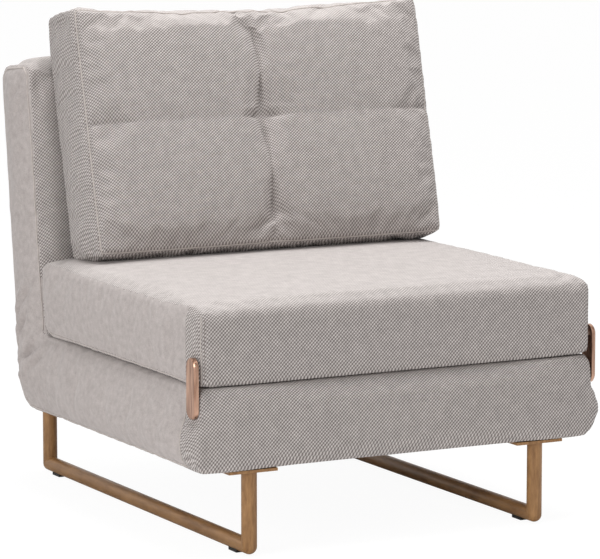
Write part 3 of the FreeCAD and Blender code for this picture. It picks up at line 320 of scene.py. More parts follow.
# %% Material helpers
def colour(red, green, blue):
    """A colour as a paint chart gives it, 0 to 255, made linear."""
    return [((value / 255) ** 2.2) for value in (red, green, blue)] + [1]


def place_group(tree, group, coordinates, **values):
    node = tree.nodes.new("ShaderNodeGroup")
    node.node_tree = group
    tree.links.new(coordinates, node.inputs["Vector"])
    for name, value in values.items():
        node.inputs[name].default_value = value
    return node


def mixed(tree, factor, first, second, mode="MIX"):
    node = tree.nodes.new("ShaderNodeMix")
    node.data_type = "RGBA"
    node.blend_type = mode
    if isinstance(factor, (int, float)):
        node.inputs[0].default_value = factor
    else:
        tree.links.new(factor, node.inputs[0])
    for index, value in ((6, first), (7, second)):
        if hasattr(value, "is_linked"):
            tree.links.new(value, node.inputs[index])
        else:
            node.inputs[index].default_value = value
    return node.outputs[2]


def new_material(name, roughness, metallic=0.0, specular=0.5):
    material = bpy.data.materials.new(name)
    material.use_nodes = True
    tree = material.node_tree
    shader = tree.nodes["Principled BSDF"]
    shader.inputs["Roughness"].default_value = roughness
    shader.inputs["Metallic"].default_value = metallic
    shader.inputs["Specular IOR Level"].default_value = specular
    coordinates = tree.nodes.new("ShaderNodeTexCoord").outputs["Object"]
    return material, tree, shader, coordinates


def remap(tree, value, low, high, to_low=0.0, to_high=1.0):
    node = tree.nodes.new("ShaderNodeMapRange")
    tree.links.new(value, node.inputs["Value"])
    node.inputs["From Min"].default_value = low
    node.inputs["From Max"].default_value = high
    node.inputs["To Min"].default_value = to_low
    node.inputs["To Max"].default_value = to_high
    return node.outputs[0]


def bumped(tree, shader, height, strength, distance):
    bump = tree.nodes.new("ShaderNodeBump")
    bump.inputs["Strength"].default_value = strength
    bump.inputs["Distance"].default_value = distance
    tree.links.new(height, bump.inputs["Height"])
    tree.links.new(bump.outputs["Normal"], shader.inputs["Normal"])

# %% [markdown]
# The woven side of the cover shows on the fronts and the tops. On faces that point up the weave
#  is painted paler, towards its light floats: a painted top light that makes the seat's top the
#  brightest face. The side panels are a plain short pile, and the rolls and stitches are the same
#  yarn, a little lighter or darker.

# %% Fabric materials
def woven_fabric(name, light, dark, depth):
    """The chunky twill: pale floats over a darker ground, slightly mottled, and painted paler on faces that point
    up.
    """
    material, tree, shader, coordinates = new_material(name, 0.95, specular=0.15)
    cloth = place_group(tree, weave, coordinates, Spacing=0.0046, Slub=1.4)
    pile = place_group(tree, mottle, coordinates, Coarse=60.0, Fine=420.0)
    base = mixed(tree, cloth.outputs["Float"], dark, light)
    grain = remap(tree, pile.outputs["Value"], 0.35, 0.65)
    worn = mixed(tree, grain, (0.86, 0.86, 0.86, 1), (1.08, 1.08, 1.08, 1))
    # Painted top light: faces that point up in the world are painted paler, towards the light floats.
    facing = tree.nodes.new("ShaderNodeSeparateXYZ")
    tree.links.new(tree.nodes.new("ShaderNodeNewGeometry").outputs["Normal"], facing.inputs[0])
    painted_top_light = remap(tree, facing.outputs[2], 0.6, 0.95, 0.0, 0.62)
    base = mixed(tree, painted_top_light, base, light)
    shade = mixed(tree, 1.0, base, worn, "MULTIPLY")
    tree.links.new(shade, shader.inputs["Base Color"])
    shader.inputs["Sheen Weight"].default_value = 0.12
    shader.inputs["Sheen Roughness"].default_value = 0.5
    bumped(tree, shader, cloth.outputs["Height"], depth, 0.0012)
    return material


def plush_fabric(name, light, dark):
    """The plain side panels: short pile with a fine grain and faint streaks."""
    material, tree, shader, coordinates = new_material(name, 0.95, specular=0.12)
    pile = place_group(tree, mottle, coordinates, Coarse=90.0, Fine=520.0)
    shade = mixed(tree, remap(tree, pile.outputs["Value"], 0.3, 0.7), dark, light)
    tree.links.new(shade, shader.inputs["Base Color"])
    shader.inputs["Sheen Weight"].default_value = 0.25
    shader.inputs["Sheen Roughness"].default_value = 0.4
    bumped(tree, shader, pile.outputs["Value"], 0.35, 0.0008)
    return material


front_weave = woven_fabric("front_weave", colour(206, 199, 196), colour(128, 121, 118), 0.8)
side_plush = plush_fabric("side_plush", colour(190, 182, 179), colour(160, 152, 149))
welt_thread = plush_fabric("welt_thread", colour(200, 192, 187), colour(172, 164, 159))
stitch_thread = plush_fabric("stitch_thread", colour(150, 140, 134), colour(112, 103, 98))
print("fabric materials made")

# %% [markdown]
# ## Soft blocks
# A boxed cushion starts as a block with rounded edges. A voxel remesh then gives it an even
# net of small faces, so that the panels can swell between the seams and creases can be
# pressed in. Each step below is a small function, because every cushion takes the same ones.

# %% Block and bevel helpers
def to_object(bm, name):
    mesh = bpy.data.meshes.new(name)
    bm.to_mesh(mesh)
    bm.free()
    piece = bpy.data.objects.new(name, mesh)
    scene.collection.objects.link(piece)
    return piece


def add_block(bm, low, high):
    made = bmesh.ops.create_cube(bm, size=1)["verts"]
    size = Vector(high) - Vector(low)
    middle = (Vector(high) + Vector(low)) / 2
    bmesh.ops.scale(bm, vec=size, verts=made)
    bmesh.ops.translate(bm, vec=middle, verts=made)
    return made


def round_edges(bm, offset, segments, chosen):
    edges = [edge for edge in bm.edges if chosen((edge.verts[0].co + edge.verts[1].co) / 2, edge)]
    bmesh.ops.bevel(
        bm, geom=edges, offset=offset, segments=segments, profile=0.5, affect="EDGES", material=-1
    )


def along_x(edge):
    return abs(edge.verts[0].co.x - edge.verts[1].co.x) > 0.2

# %% [markdown]
# A modifier is made permanent as soon as it has done its work, because the next step needs
# its points. An even net, an easing and a finer net are the three that the cushions use.

# %% Modifiers made permanent
def applied(piece):
    """Replace the mesh by what its modifiers make of it."""
    bpy.context.view_layer.update()
    result = bpy.data.meshes.new_from_object(piece.evaluated_get(bpy.context.evaluated_depsgraph_get()))
    piece.modifiers.clear()
    old = piece.data
    piece.data = result
    bpy.data.meshes.remove(old)
    return piece


def remeshed(piece, voxel):
    modifier = piece.modifiers.new("even_net", "REMESH")
    modifier.mode = "VOXEL"
    modifier.voxel_size = voxel
    return applied(piece)


def smoothed(piece, factor, rounds):
    modifier = piece.modifiers.new("ease", "SMOOTH")
    modifier.factor = factor
    modifier.iterations = rounds
    return applied(piece)


def subdivided(piece, levels=1):
    modifier = piece.modifiers.new("finer", "SUBSURF")
    modifier.levels = levels
    modifier.render_levels = levels
    return applied(piece)

# %% [markdown]
# The points of a mesh are read and written all at once as a numpy array, which is much
# quicker than one by one.

# %% Reading and moving points
def points_of(piece):
    flat = np.zeros(len(piece.data.vertices) * 3)
    piece.data.vertices.foreach_get("co", flat)
    return flat.reshape(-1, 3)


def normals_of(piece):
    flat = np.zeros(len(piece.data.vertices) * 3)
    piece.data.vertices.foreach_get("normal", flat)
    return flat.reshape(-1, 3)


def move_to(piece, points):
    piece.data.vertices.foreach_set("co", points.astype(np.float32).ravel())
    piece.data.update()

# %% [markdown]
# Where a panel is sewn to the next one it can't swell, so the swelling grows with the
# distance to the nearest seam. A seam is a path of a few points in space. The same
# distance presses a fine groove at each seam, and a crease is only a deeper, shorter one.

# %% Seams and swelling
def distance_to(points, path):
    """Each point's distance to a path of straight runs."""
    nearest = np.full(len(points), 1e9)
    for start, end in zip(path[:-1], path[1:]):
        start, run = np.array(start), np.array(end) - np.array(start)
        share = np.clip(((points - start) @ run) / (run @ run), 0, 1)
        nearest = np.minimum(nearest, np.linalg.norm(points - (start + share[:, None] * run), axis=1))
    return nearest


def seam_distance(points, seams):
    return np.min([distance_to(points, seam) for seam in seams], axis=0)


def swell(piece, seams, height, reach, flat=None, flat_share=0.3):
    """Push the panels out between the seams; those that face along flat swell less."""
    points, normals = points_of(piece), normals_of(piece)
    away = 1 - np.exp(-seam_distance(points, seams) / reach)
    if flat is not None:
        facing = np.abs(normals @ np.array(flat))
        away = away * (1 - (1 - flat_share) * np.clip((facing - 0.5) / 0.3, 0, 1))
    move_to(piece, points + normals * (height * away)[:, None])
    return piece

# %% Grooves and creases
def groove(piece, path, depth, width):
    points, normals = points_of(piece), normals_of(piece)
    near = np.exp(-((distance_to(points, path) / width) ** 2))
    move_to(piece, points - normals * (depth * near)[:, None])


def crease(piece, start, end, depth, width):
    """A soft fold: deepest in its middle, with a low ridge along both sides."""
    points, normals = points_of(piece), normals_of(piece)
    start, run = np.array(start), np.array(end) - np.array(start)
    share = ((points - start) @ run) / (run @ run)
    across = np.linalg.norm(points - (start + np.clip(share, 0, 1)[:, None] * run), axis=1)
    fade = np.clip(np.sin(np.pi * np.clip(share, 0.001, 0.999)), 0, 1) ** 0.6
    profile = np.exp(-((across / width) ** 2)) - 0.45 * np.exp(-(((across - 1.9 * width) / width) ** 2))
    move_to(piece, points - normals * (depth * fade * profile)[:, None])


def clamp_axis(piece, axis, low=None, high=None):
    points = points_of(piece)
    points[:, axis] = np.clip(points[:, axis], low, high)
    move_to(piece, points)


def finish_soft(piece, materials, chooser=None):
    """Give the materials and smooth shading; chooser picks the material of each face."""
    for material in materials:
        piece.data.materials.append(material)
    smooth = np.ones(len(piece.data.polygons), dtype=bool)
    piece.data.polygons.foreach_set("use_smooth", smooth)
    if chooser:
        for polygon in piece.data.polygons:
            polygon.material_index = chooser(polygon.center, polygon.normal)
    print(piece.name, len(piece.data.polygons), "faces")
    return piece

# %% [markdown]
# A sewn edge shows as a thin roll with stitches. It is a tube along the seam, laid on the
# finished cushion: each point of the path is dropped onto the nearest place of the surface.

# %% Welt helper
def laid_on(piece, path, step):
    """The path in short steps, each point moved to the surface."""
    tree = BVHTree.FromObject(piece, bpy.context.evaluated_depsgraph_get())
    laid = []
    for start, end in zip(path[:-1], path[1:]):
        start, end = Vector(start), Vector(end)
        count = max(1, round((end - start).length / step))
        for index in range(count):
            spot, normal, _, _ = tree.find_nearest(start.lerp(end, index / count))
            laid.append((spot, normal))
    laid.append(tree.find_nearest(Vector(path[-1]))[:2])
    return laid


def welt(piece, path, name, radius, rise, step=0.012):
    """A thin roll along the path, laid on the piece."""
    line = bpy.data.curves.new(name, "CURVE")
    line.dimensions = "3D"
    line.bevel_depth = radius
    line.bevel_resolution = 2
    line.use_fill_caps = True
    spline = line.splines.new("POLY")
    laid = laid_on(piece, path, step)
    spline.points.add(len(laid) - 1)
    for point, (spot, normal) in zip(spline.points, laid):
        point.co = (*(spot + normal * rise), 1)
    roll = bpy.data.objects.new(name, line)
    scene.collection.objects.link(roll)
    mesh = bpy.data.meshes.new_from_object(roll.evaluated_get(bpy.context.evaluated_depsgraph_get()))
    bpy.data.objects.remove(roll)
    roll = bpy.data.objects.new(name, mesh)
    scene.collection.objects.link(roll)
    roll.data.polygons.foreach_set("use_smooth", np.ones(len(mesh.polygons), dtype=bool))
    return roll

# %% [markdown]
# The thread itself shows at the front seams as a row of small dark stitches. Each stitch is
# a stretched bead, and they follow the seam with even gaps.

# %% Stitch helper
def stitches(piece, path, name, length, radius, gap, offset=0.0):
    bm = bmesh.new()
    laid = laid_on(piece, path, length + gap)
    for index in range(len(laid) - 1):
        (spot, normal), (after, _) = laid[index], laid[index + 1]
        along = (after - spot).normalized()
        bead = bmesh.ops.create_icosphere(bm, subdivisions=1, radius=1)["verts"]
        aside = normal.cross(along).normalized()
        turn = Matrix((along * length / 2, aside * radius, normal * radius)).transposed().to_4x4()
        turn.translation = spot + along * (length / 2) + aside * offset + normal * radius * 0.3
        bmesh.ops.transform(bm, matrix=turn, verts=bead)
    row = to_object(bm, name)
    row.data.polygons.foreach_set("use_smooth", np.ones(len(row.data.polygons), dtype=bool))
    return row

# %% Join helper
def joined(pieces, name, material):
    """One object from several, with one material."""
    bm = bmesh.new()
    for piece in pieces:
        bm.from_mesh(piece.data)
        bpy.data.objects.remove(piece)
    whole = to_object(bm, name)
    whole.data.polygons.foreach_set("use_smooth", np.ones(len(whole.data.polygons), dtype=bool))
    whole.data.materials.append(material)
    print(name, len(whole.data.polygons), "faces")
    return whole

# %% [markdown]
# ## Cloth simulation
# Swelling alone looks like rubber. A short simulation with a little pressure, held at the
# seams, lets the cover pucker as sewn cloth does. The net is slightly larger than the
# cushion it covers, which is where the small wrinkles come from. The movement is capped, so
# that the cushion keeps its size.

# %% Cloth helper
def puffed(piece, seams, pressure, grow, hold, cap, frames=12):
    """Inflate the piece for a few frames, held near its seams, and cap how far it moved."""
    start = points_of(piece)
    near = seam_distance(start, seams)
    group = piece.vertex_groups.new(name="sewn")
    for index in np.nonzero(near < hold)[0]:
        group.add([int(index)], 1.0, "REPLACE")
    cloth = piece.modifiers.new("cover", "CLOTH")
    settings = cloth.settings
    settings.quality = 3
    settings.mass = 0.25
    settings.tension_stiffness = 12
    settings.compression_stiffness = 12
    settings.shear_stiffness = 6
    settings.bending_stiffness = 0.6
    settings.use_pressure = True
    settings.uniform_pressure_force = pressure
    settings.shrink_min = -grow
    settings.effector_weights.gravity = 0
    settings.vertex_group_mass = "sewn"
    settings.pin_stiffness = 1.0
    cloth.point_cache.frame_start = 1
    cloth.point_cache.frame_end = frames
    for step in range(1, frames + 1):
        scene.frame_set(step)
    applied(piece)
    moved = points_of(piece) - start
    length = np.linalg.norm(moved, axis=1)
    scale = np.where(length > cap, cap / np.maximum(length, 1e-9), 1.0)
    move_to(piece, start + moved * scale[:, None])
    piece.vertex_groups.clear()
    scene.frame_set(1)
    print(piece.name, "moved up to", round(float(length.max()) * 1000, 1), "mm, capped at", cap * 1000)
    return piece

# %% [markdown]
# ## Seat cushion
# The upper section is a boxed cushion with a crowned top. Its front edge is rounded and the
# weave wraps over it. Behind its upper edge a bay holds the folded drop legs, so the block
# is cut there before it is remeshed.

# %% Sizes taken from the frame
seat_low, seat_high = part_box("seat_cover")
base_low, base_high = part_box("base_cover")
split = seat_low.z
edge_x = 0.381
front_y = -0.426
seat_rear = 0.229
seat_heel = 0.213
seat_top = seat_high.z - 0.011
strap_room = 0.3838  # the straps' inner faces are 0.8 mm further out
print("split at", round(split, 4), "seat top", round(seat_top, 4))

# %% [markdown]
# The block is narrower than the finished cushion by what the panels swell. Its front edges
# get the largest rounding, since the foam is softest there.

# %% Seat form
bm = bmesh.new()
add_block(bm, (-edge_x, front_y, split), (edge_x, seat_rear, seat_top))
for vertex in bm.verts:
    if vertex.co.y > 0 and vertex.co.z < split + 0.01:
        vertex.co.y = seat_heel
round_edges(bm, 0.014, 5, lambda middle, edge: along_x(edge) and middle.y < 0)
round_edges(bm, 0.012, 4, lambda middle, edge: along_x(edge) and middle.y > 0.2 and middle.z > 0.4)
round_edges(bm, 0.022, 4, lambda middle, edge: along_x(edge) and middle.y > 0.2 and middle.z < 0.31)
round_edges(bm, 0.010, 4, lambda middle, edge: abs(abs(middle.x) - edge_x) < 1e-5)
seat = to_object(bm, "seat_cushion")

bay_half, bay_front, bay_floor = 0.3, 0.196, 0.349
bm = bmesh.new()
add_block(bm, (-bay_half, bay_front, bay_floor), (bay_half, 0.3, 0.5))
bay = to_object(bm, "bay_cutter")
modifier = seat.modifiers.new("bay", "BOOLEAN")
modifier.operation = "DIFFERENCE"
modifier.solver = "EXACT"
modifier.object = bay
applied(seat)
bpy.data.objects.remove(bay)
remeshed(seat, 0.007)
smoothed(seat, 0.5, 3)

# %% [markdown]
# Each side panel is held by four seams: bottom, top, front and rear. The sides swell less
# than the top, because the straps pass close beside them.

# %% Seat seams and swelling
seat_seams = []
for side in (-1, 1):
    x = side * edge_x
    seat_seams.append([(x, front_y + 0.004, split + 0.004), (x, seat_heel, split + 0.006)])
    seat_seams.append([(x, front_y + 0.004, seat_top - 0.003), (x, seat_rear, seat_top - 0.003)])
    seat_seams.append([(x, front_y + 0.003, split + 0.004), (x, front_y + 0.003, seat_top - 0.004)])
    seat_seams.append([(x, seat_heel, split + 0.006), (x, seat_rear, seat_top - 0.003)])
bay_rim = [
    (-bay_half, bay_front, seat_top),
    (-bay_half, seat_rear, seat_top),
    (bay_half, seat_rear, seat_top),
    (bay_half, bay_front, seat_top),
]
swell(seat, seat_seams, 0.0085, 0.03, flat=(1, 0, 0), flat_share=0.45)
puffed(seat, seat_seams + [bay_rim], 3.0, 0.012, 0.006, 0.004)

# %% [markdown]
# The top is crowned by a few millimetres, highest in the middle. The bay keeps its straight
# walls, the underside stays flat, and the front of the sides keeps clear of the straps.

# %% Seat crown and grooves
points = points_of(seat)
depth_share = np.clip((points[:, 1] - front_y) / (seat_rear - front_y), 0, 1)
width_share = np.clip(np.abs(points[:, 0]) / 0.385, 0, 1)
upper = np.clip((points[:, 2] - 0.36) / 0.05, 0, 1)
beside = np.abs(points[:, 0]) < bay_half + 0.002
in_bay = beside & (points[:, 1] > bay_front - 0.004) & (points[:, 2] < seat_top - 0.012)
crown = 0.005 * (1 - (2 * depth_share - 1) ** 2) * (1 - 0.6 * width_share ** 4) * upper
points[:, 2] += np.where(in_bay, 0, crown)
move_to(seat, points)
clamp_axis(seat, 2, low=split)
points = points_of(seat)
room = strap_room + 0.02 * np.clip((points[:, 1] - (front_y + 0.11)) / 0.08, 0, 1)
points[:, 0] = np.clip(points[:, 0], -room, room)
move_to(seat, points)
clamp_axis(seat, 1, low=front_y - 0.005)
subdivided(seat)
for index, seam in enumerate(seat_seams):
    groove(seat, seam, 0.0008 if index % 4 == 1 else 0.0022, 0.004)

# %% [markdown]
# The woven front wraps a little way round the corner, and the plain panel starts behind it.

# %% Seat finish and behaviour
def seat_panel(middle, normal):
    return 1 if abs(normal.x) > 0.75 and middle.y > front_y + 0.05 else 0


finish_soft(seat, [front_weave, side_plush], seat_panel)
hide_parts("seat_cover", "seat_foam_lower", "seat_foam_upper")
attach(seat, "seat")

# %% [markdown]
# The seat's lower edges and front corners are sewn with a narrow roll, while its upper
# edges are only folded over. The two front corners also carry a closely stitched seam that
# shows as a beaded line.

# %% Seat piping
rolled_seams = [path for index, path in enumerate(seat_seams) if index % 4 in (0, 2)]
seat_rolls = [welt(seat, path, "seat_roll", 0.0011, 0.0002) for path in rolled_seams]
seat_piping = joined(seat_rolls, "seat_piping", welt_thread)
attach(seat_piping, "seat")
corner_rows = []
for side in (-1, 1):
    corner = [(side * edge_x, front_y - 0.002, z) for z in (seat_top - 0.012, split + 0.012)]
    corner_rows.append(stitches(seat, corner, "corner_row", 0.0036, 0.0009, 0.0022, 0.0030))
seat_stitches = joined(corner_rows, "seat_stitches", stitch_thread)
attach(seat_stitches, "seat")

# %% [markdown]
# ## Mattress cover of the lower section and the back
# One cover runs under the seat and up the back, so it is one piece.

# %% Places along the back
recline = Vector(joints["back_recline"]["pos_m"])
lean = math.radians(7)
up_back = Vector((0, math.sin(lean), math.cos(lean)))
out_back = Vector((0, math.cos(lean), -math.sin(lean)))
back_front, back_rear, back_top = -0.012, 0.110, 0.502


def on_back(x, along, behind):
    """A place given along the back from its axis, and behind the axis."""
    return Vector((x, recline.y, recline.z)) + up_back * along + out_back * behind


base_bottom = base_low.z
base_top = base_high.z
print("recline axis", [round(value, 4) for value in recline], "lower section", base_bottom, "to", base_top)

# %% [markdown]
# Two blocks make the form: a flat one for the lower section, with broad upper side edges,
# and a leaning one for the back, with a large rounding at its foot where the cover hangs.

# %% Mattress form
def along_side(middle):
    return abs(abs(middle.x) - edge_x) < 1e-5 and middle.y < recline.y + 0.03


bm = bmesh.new()
add_block(bm, (-edge_x, front_y, base_bottom), (edge_x, recline.y + 0.04, base_top))
round_edges(bm, 0.014, 5, lambda middle, edge: along_x(edge) and middle.y < 0)
round_edges(bm, 0.018, 5, lambda middle, edge: along_side(middle) and middle.z > base_top - 0.001)
round_edges(bm, 0.009, 3, lambda middle, edge: along_side(middle) and middle.z < base_top - 0.03)
lower_block = to_object(bm, "lower_block")

bm = bmesh.new()
made = add_block(bm, (-edge_x, back_front, -0.2), (edge_x, back_rear, back_top))
for vertex in made:
    foot = vertex.co.z < 0
    place = on_back(vertex.co.x, vertex.co.z, vertex.co.y)
    if foot:
        place -= up_back * ((place.z - base_bottom) / up_back.z)
    vertex.co = place
rear_foot = recline.y + 0.06
round_edges(bm, 0.055, 8, lambda middle, edge: along_x(edge) and middle.z < 0.2 and middle.y > rear_foot)
round_edges(bm, 0.024, 5, lambda middle, edge: along_x(edge) and middle.z > 0.7)
round_edges(bm, 0.009, 3, lambda middle, edge: abs(abs(middle.x) - edge_x) < 1e-5)
bmesh.ops.recalc_face_normals(bm, faces=bm.faces)
mattress = to_object(bm, "mattress_cover")
modifier = mattress.modifiers.new("joined", "BOOLEAN")
modifier.operation = "UNION"
modifier.solver = "EXACT"
modifier.object = lower_block
applied(mattress)
bpy.data.objects.remove(lower_block)
remeshed(mattress, 0.0075)
smoothed(mattress, 0.5, 4)

# %% [markdown]
# The seams of a side panel run round it in two paths: the inner one follows the front of
# the lower section, its top and the front of the back, and the outer one the underside and
# the rear.

# %% Mattress seams
wrap = front_y + 0.057
mattress_seams = []
side_seams = []
for side in (-1, 1):
    x = side * (edge_x + 0.001)
    inner = on_back(x, 0.020, back_front)
    path = [
        (x, wrap, base_bottom + 0.008),
        (x, wrap, base_top - 0.012),
        (x, recline.y - 0.02, base_top - 0.006),
        tuple(inner),
        tuple(on_back(x, back_top - 0.02, back_front + 0.004)),
    ]
    outer = [
        (x, wrap, base_bottom + 0.004),
        (x, recline.y + 0.045, base_bottom + 0.004),
        tuple(on_back(x, -0.085, back_rear - 0.004)),
        tuple(on_back(x, back_top - 0.02, back_rear - 0.004)),
        tuple(on_back(x, back_top - 0.003, back_rear - 0.03)),
        tuple(on_back(x, back_top - 0.003, back_front + 0.02)),
        tuple(on_back(x, back_top - 0.02, back_front + 0.004)),
    ]
    side_seams += [path[:2], path[3:], outer]
    lower_front = [(x, front_y + 0.004, base_bottom + 0.004), (x, wrap, base_bottom + 0.004)]
    mattress_seams += [path, outer, lower_front]
    mattress_seams.append([(x, front_y + 0.004, base_top - 0.004), (x, wrap, base_top - 0.006)])
swell(mattress, mattress_seams, 0.0085, 0.034)
puffed(mattress, mattress_seams, 3.0, 0.015, 0.006, 0.007)

# %% [markdown]
# The lower section bulges sideways under the straps, where the foam is squeezed by its own
# frame. Its top stays under the seat, its underside stays on the leg plates, and beside the
# straps it keeps clear of them.

# %% Mattress bulge and limits
points = points_of(mattress)
low_side = np.clip((0.236 - points[:, 2]) / (0.236 - base_bottom), 0, 1)
towards_side = np.clip((np.abs(points[:, 0]) - 0.3) / 0.08, 0, 1) ** 2
bulge = 0.010 * np.sin(np.pi * low_side) * towards_side * np.clip((0.15 - points[:, 1]) / 0.1, 0, 1)
points[:, 0] += np.sign(points[:, 0]) * bulge
near_strap = (points[:, 1] < front_y + 0.045) & (points[:, 2] > 0.232)
points[:, 0] = np.where(near_strap, np.clip(points[:, 0], -strap_room, strap_room), points[:, 0])
under_seat = (points[:, 1] < recline.y - 0.02) & (points[:, 2] > base_top - 0.03)
points[:, 2] = np.where(under_seat, np.minimum(points[:, 2], base_top - 0.0004), points[:, 2])
under = points[:, 1] < recline.y + 0.09
under &= points[:, 2] < base_bottom + 0.03
points[:, 2] = np.where(under, np.maximum(points[:, 2], base_bottom), points[:, 2])
move_to(mattress, points)
subdivided(mattress)

# %% [markdown]
# The folded corner shows as soft folds that fall from the seat's lower rear corner towards
# the rear foot. Three more are pulled from below each strap to the front corner, and short
# ones fan out from the top corners of the back.

# %% Mattress folds
for seam in mattress_seams:
    groove(mattress, seam, 0.002, 0.004)
for side in (-1, 1):
    x = side * (edge_x + 0.008)
    folds = [
        ((0.255, 0.389), (0.343, 0.286), 0.0078, 0.0080),
        ((0.263, 0.347), (0.339, 0.243), 0.0085, 0.0085),
        ((0.217, 0.296), (0.312, 0.232), 0.0090, 0.0075),
        ((0.209, 0.287), (0.331, 0.211), 0.0078, 0.0070),
        ((0.255, 0.261), (0.320, 0.184), 0.0078, 0.0080),
        ((0.251, 0.252), (0.270, 0.189), 0.0065, 0.0070),
        ((0.201, 0.268), (0.259, 0.221), 0.0058, 0.0070),
    ]
    for (start_y, start_z), (end_y, end_z), deep, wide in folds:
        crease(mattress, (x, start_y, start_z), (x, end_y, end_z), deep, wide)
    pulled = side * (edge_x + 0.011)
    pulls = [
        ((0.056, 0.250), (0.012, 0.156), 0.0060),
        ((0.032, 0.242), (0.004, 0.158), 0.0060),
        ((0.013, 0.240), (0.000, 0.176), 0.0045),
    ]
    for (start_off, start_z), (end_off, end_z), deep in pulls:
        start = (pulled, front_y + start_off, start_z)
        crease(mattress, start, (pulled, front_y + end_off, end_z), deep, 0.0060)
    high = tuple(on_back(x, back_top - 0.035, back_front + 0.012))
    for along, behind, deep in ((0.10, 0.030, 0.0036), (0.13, 0.014, 0.0030), (0.06, 0.055, 0.0030)):
        crease(mattress, high, tuple(on_back(x, back_top - along, behind)), deep, 0.006)
crease(mattress, (0.085, front_y - 0.004, 0.262), (0.06, front_y - 0.004, 0.205), 0.002, 0.006)

# %% [markdown]
# The plain side panel starts behind the woven wrap of the front, rolls over the upper edge
# of the lower section, and covers the walls of the folds.

# %% Mattress finish
def panel_of(middle, normal):
    rolled = abs(middle.x) > edge_x - 0.03 and middle.y < recline.y - 0.02 and middle.z > base_bottom + 0.05
    beyond_seam = abs(middle.x) > edge_x - 0.003
    return 1 if middle.y > wrap and (abs(normal.x) > 0.75 or rolled or beyond_seam) else 0


finish_soft(mattress, [front_weave, side_plush], panel_of)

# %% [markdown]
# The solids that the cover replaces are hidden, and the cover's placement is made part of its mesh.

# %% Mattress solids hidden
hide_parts("base_cover", "base_foam", "back_cover", "back_foam", "back_rear_pad", "corner_gusset")
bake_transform(mattress)

# %% [markdown]
# The side panels are sewn in with the same roll, which runs up the front of the lower
#  section and round the whole back.

# %% Mattress piping
mattress_rolls = [welt(mattress, path, "mattress_roll", 0.0014, 0.0004) for path in side_seams]
mattress_piping = joined(mattress_rolls, "mattress_piping", welt_thread)
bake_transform(mattress_piping)

# %% [markdown]
# ## Pillow
# The loose pillow is boxed too, but softer. A sewn cross divides its front into four
# quarters that swell, and the zip runs along its bottom. It leans on the back, and in the
# photograph it sits a little to the right.

# %% Places on the pillow
tilt = math.radians(14)
pillow_half, pillow_tall, pillow_deep = 0.350, 0.444, 0.125
pillow_slip = 0.014
pillow_foot = Vector((0, 0.185, 0.42547))
pillow_up = Vector((0, math.sin(tilt), math.cos(tilt)))
pillow_out = Vector((0, -math.cos(tilt), math.sin(tilt)))


def on_pillow(x, up, out):
    """A place on the pillow: along its height, and forwards from its rear face."""
    return Vector((x + pillow_slip, 0, 0)) + pillow_foot + pillow_up * up + pillow_out * out

# %% Pillow form
bm = bmesh.new()
made = add_block(bm, (-pillow_half, 0, 0), (pillow_half, pillow_deep, pillow_tall))
for vertex in made:
    vertex.co = on_pillow(vertex.co.x, vertex.co.z, vertex.co.y)
bmesh.ops.recalc_face_normals(bm, faces=bm.faces)
round_edges(bm, 0.013, 5, lambda middle, edge: True)
pillow = to_object(bm, "back_pillow")
remeshed(pillow, 0.006)
smoothed(pillow, 0.5, 3)

# %% [markdown]
# Two seams run round the pillow, at the front and at the rear of its box. The sewn cross is
# an upright line and a level one a little above the middle.

# %% Pillow seams
cross_share = 0.53
pillow_seams = []
for out in (0.003, pillow_deep - 0.003):
    corners = [(-1, 0.003), (1, 0.003), (1, pillow_tall - 0.003), (-1, pillow_tall - 0.003), (-1, 0.003)]
    pillow_seams.append([tuple(on_pillow(side * (pillow_half - 0.003), up, out)) for side, up in corners])
cross_out = pillow_deep + 0.002
upright = [tuple(on_pillow(0, up, cross_out)) for up in (0.0, pillow_tall)]
level = [tuple(on_pillow(x, pillow_tall * cross_share, cross_out)) for x in (-pillow_half, pillow_half)]

# %% [markdown]
# The quarters swell between the lines of the cross, the top edge sags in its middle and its
# two corners stand up as small ears.

# %% Pillow quarters
swell(pillow, pillow_seams, 0.008, 0.03, flat=pillow_up, flat_share=0.0)
points = points_of(pillow)
local_up = (points - np.array(pillow_foot)) @ np.array(pillow_up)
local_out = (points - np.array(pillow_foot)) @ np.array(pillow_out)
front = np.clip((local_out - pillow_deep * 0.75) / 0.02, 0, 1)
span = np.clip(np.abs(points[:, 0] - pillow_slip) / pillow_half, 0, 1)
rise = np.clip(local_up / pillow_tall, 0, 1)
quarter_x = np.abs(np.sin(np.pi * np.clip(span, 0, 1))) ** 0.6
low_part = np.clip(rise / cross_share, 0, 1)
high_part = np.clip((rise - cross_share) / (1 - cross_share), 0, 1)
quarter_z = np.abs(np.sin(np.pi * np.where(rise < cross_share, low_part, high_part))) ** 0.6
sag = 0.013 * (1 - span ** 2) * np.clip((rise - 0.75) / 0.25, 0, 1)
ears = 0.009 * span ** 8 * np.clip((rise - 0.75) / 0.25, 0, 1)
points += np.array(pillow_up) * (ears - sag)[:, None]
lifted = 0.009 * front * (0.35 + 0.65 * quarter_x) * (0.35 + 0.65 * quarter_z)
points += np.array(pillow_out) * lifted[:, None]
move_to(pillow, points)
puffed(pillow, pillow_seams + [upright, level], 3.0, 0.03, 0.007, 0.008)
subdivided(pillow)

# %% [markdown]
# Thread pulls the cover in along the cross: a wide shallow valley with a fine line in it.
# Underneath, the cover is lifted a little where the zip's tape and slider lie.

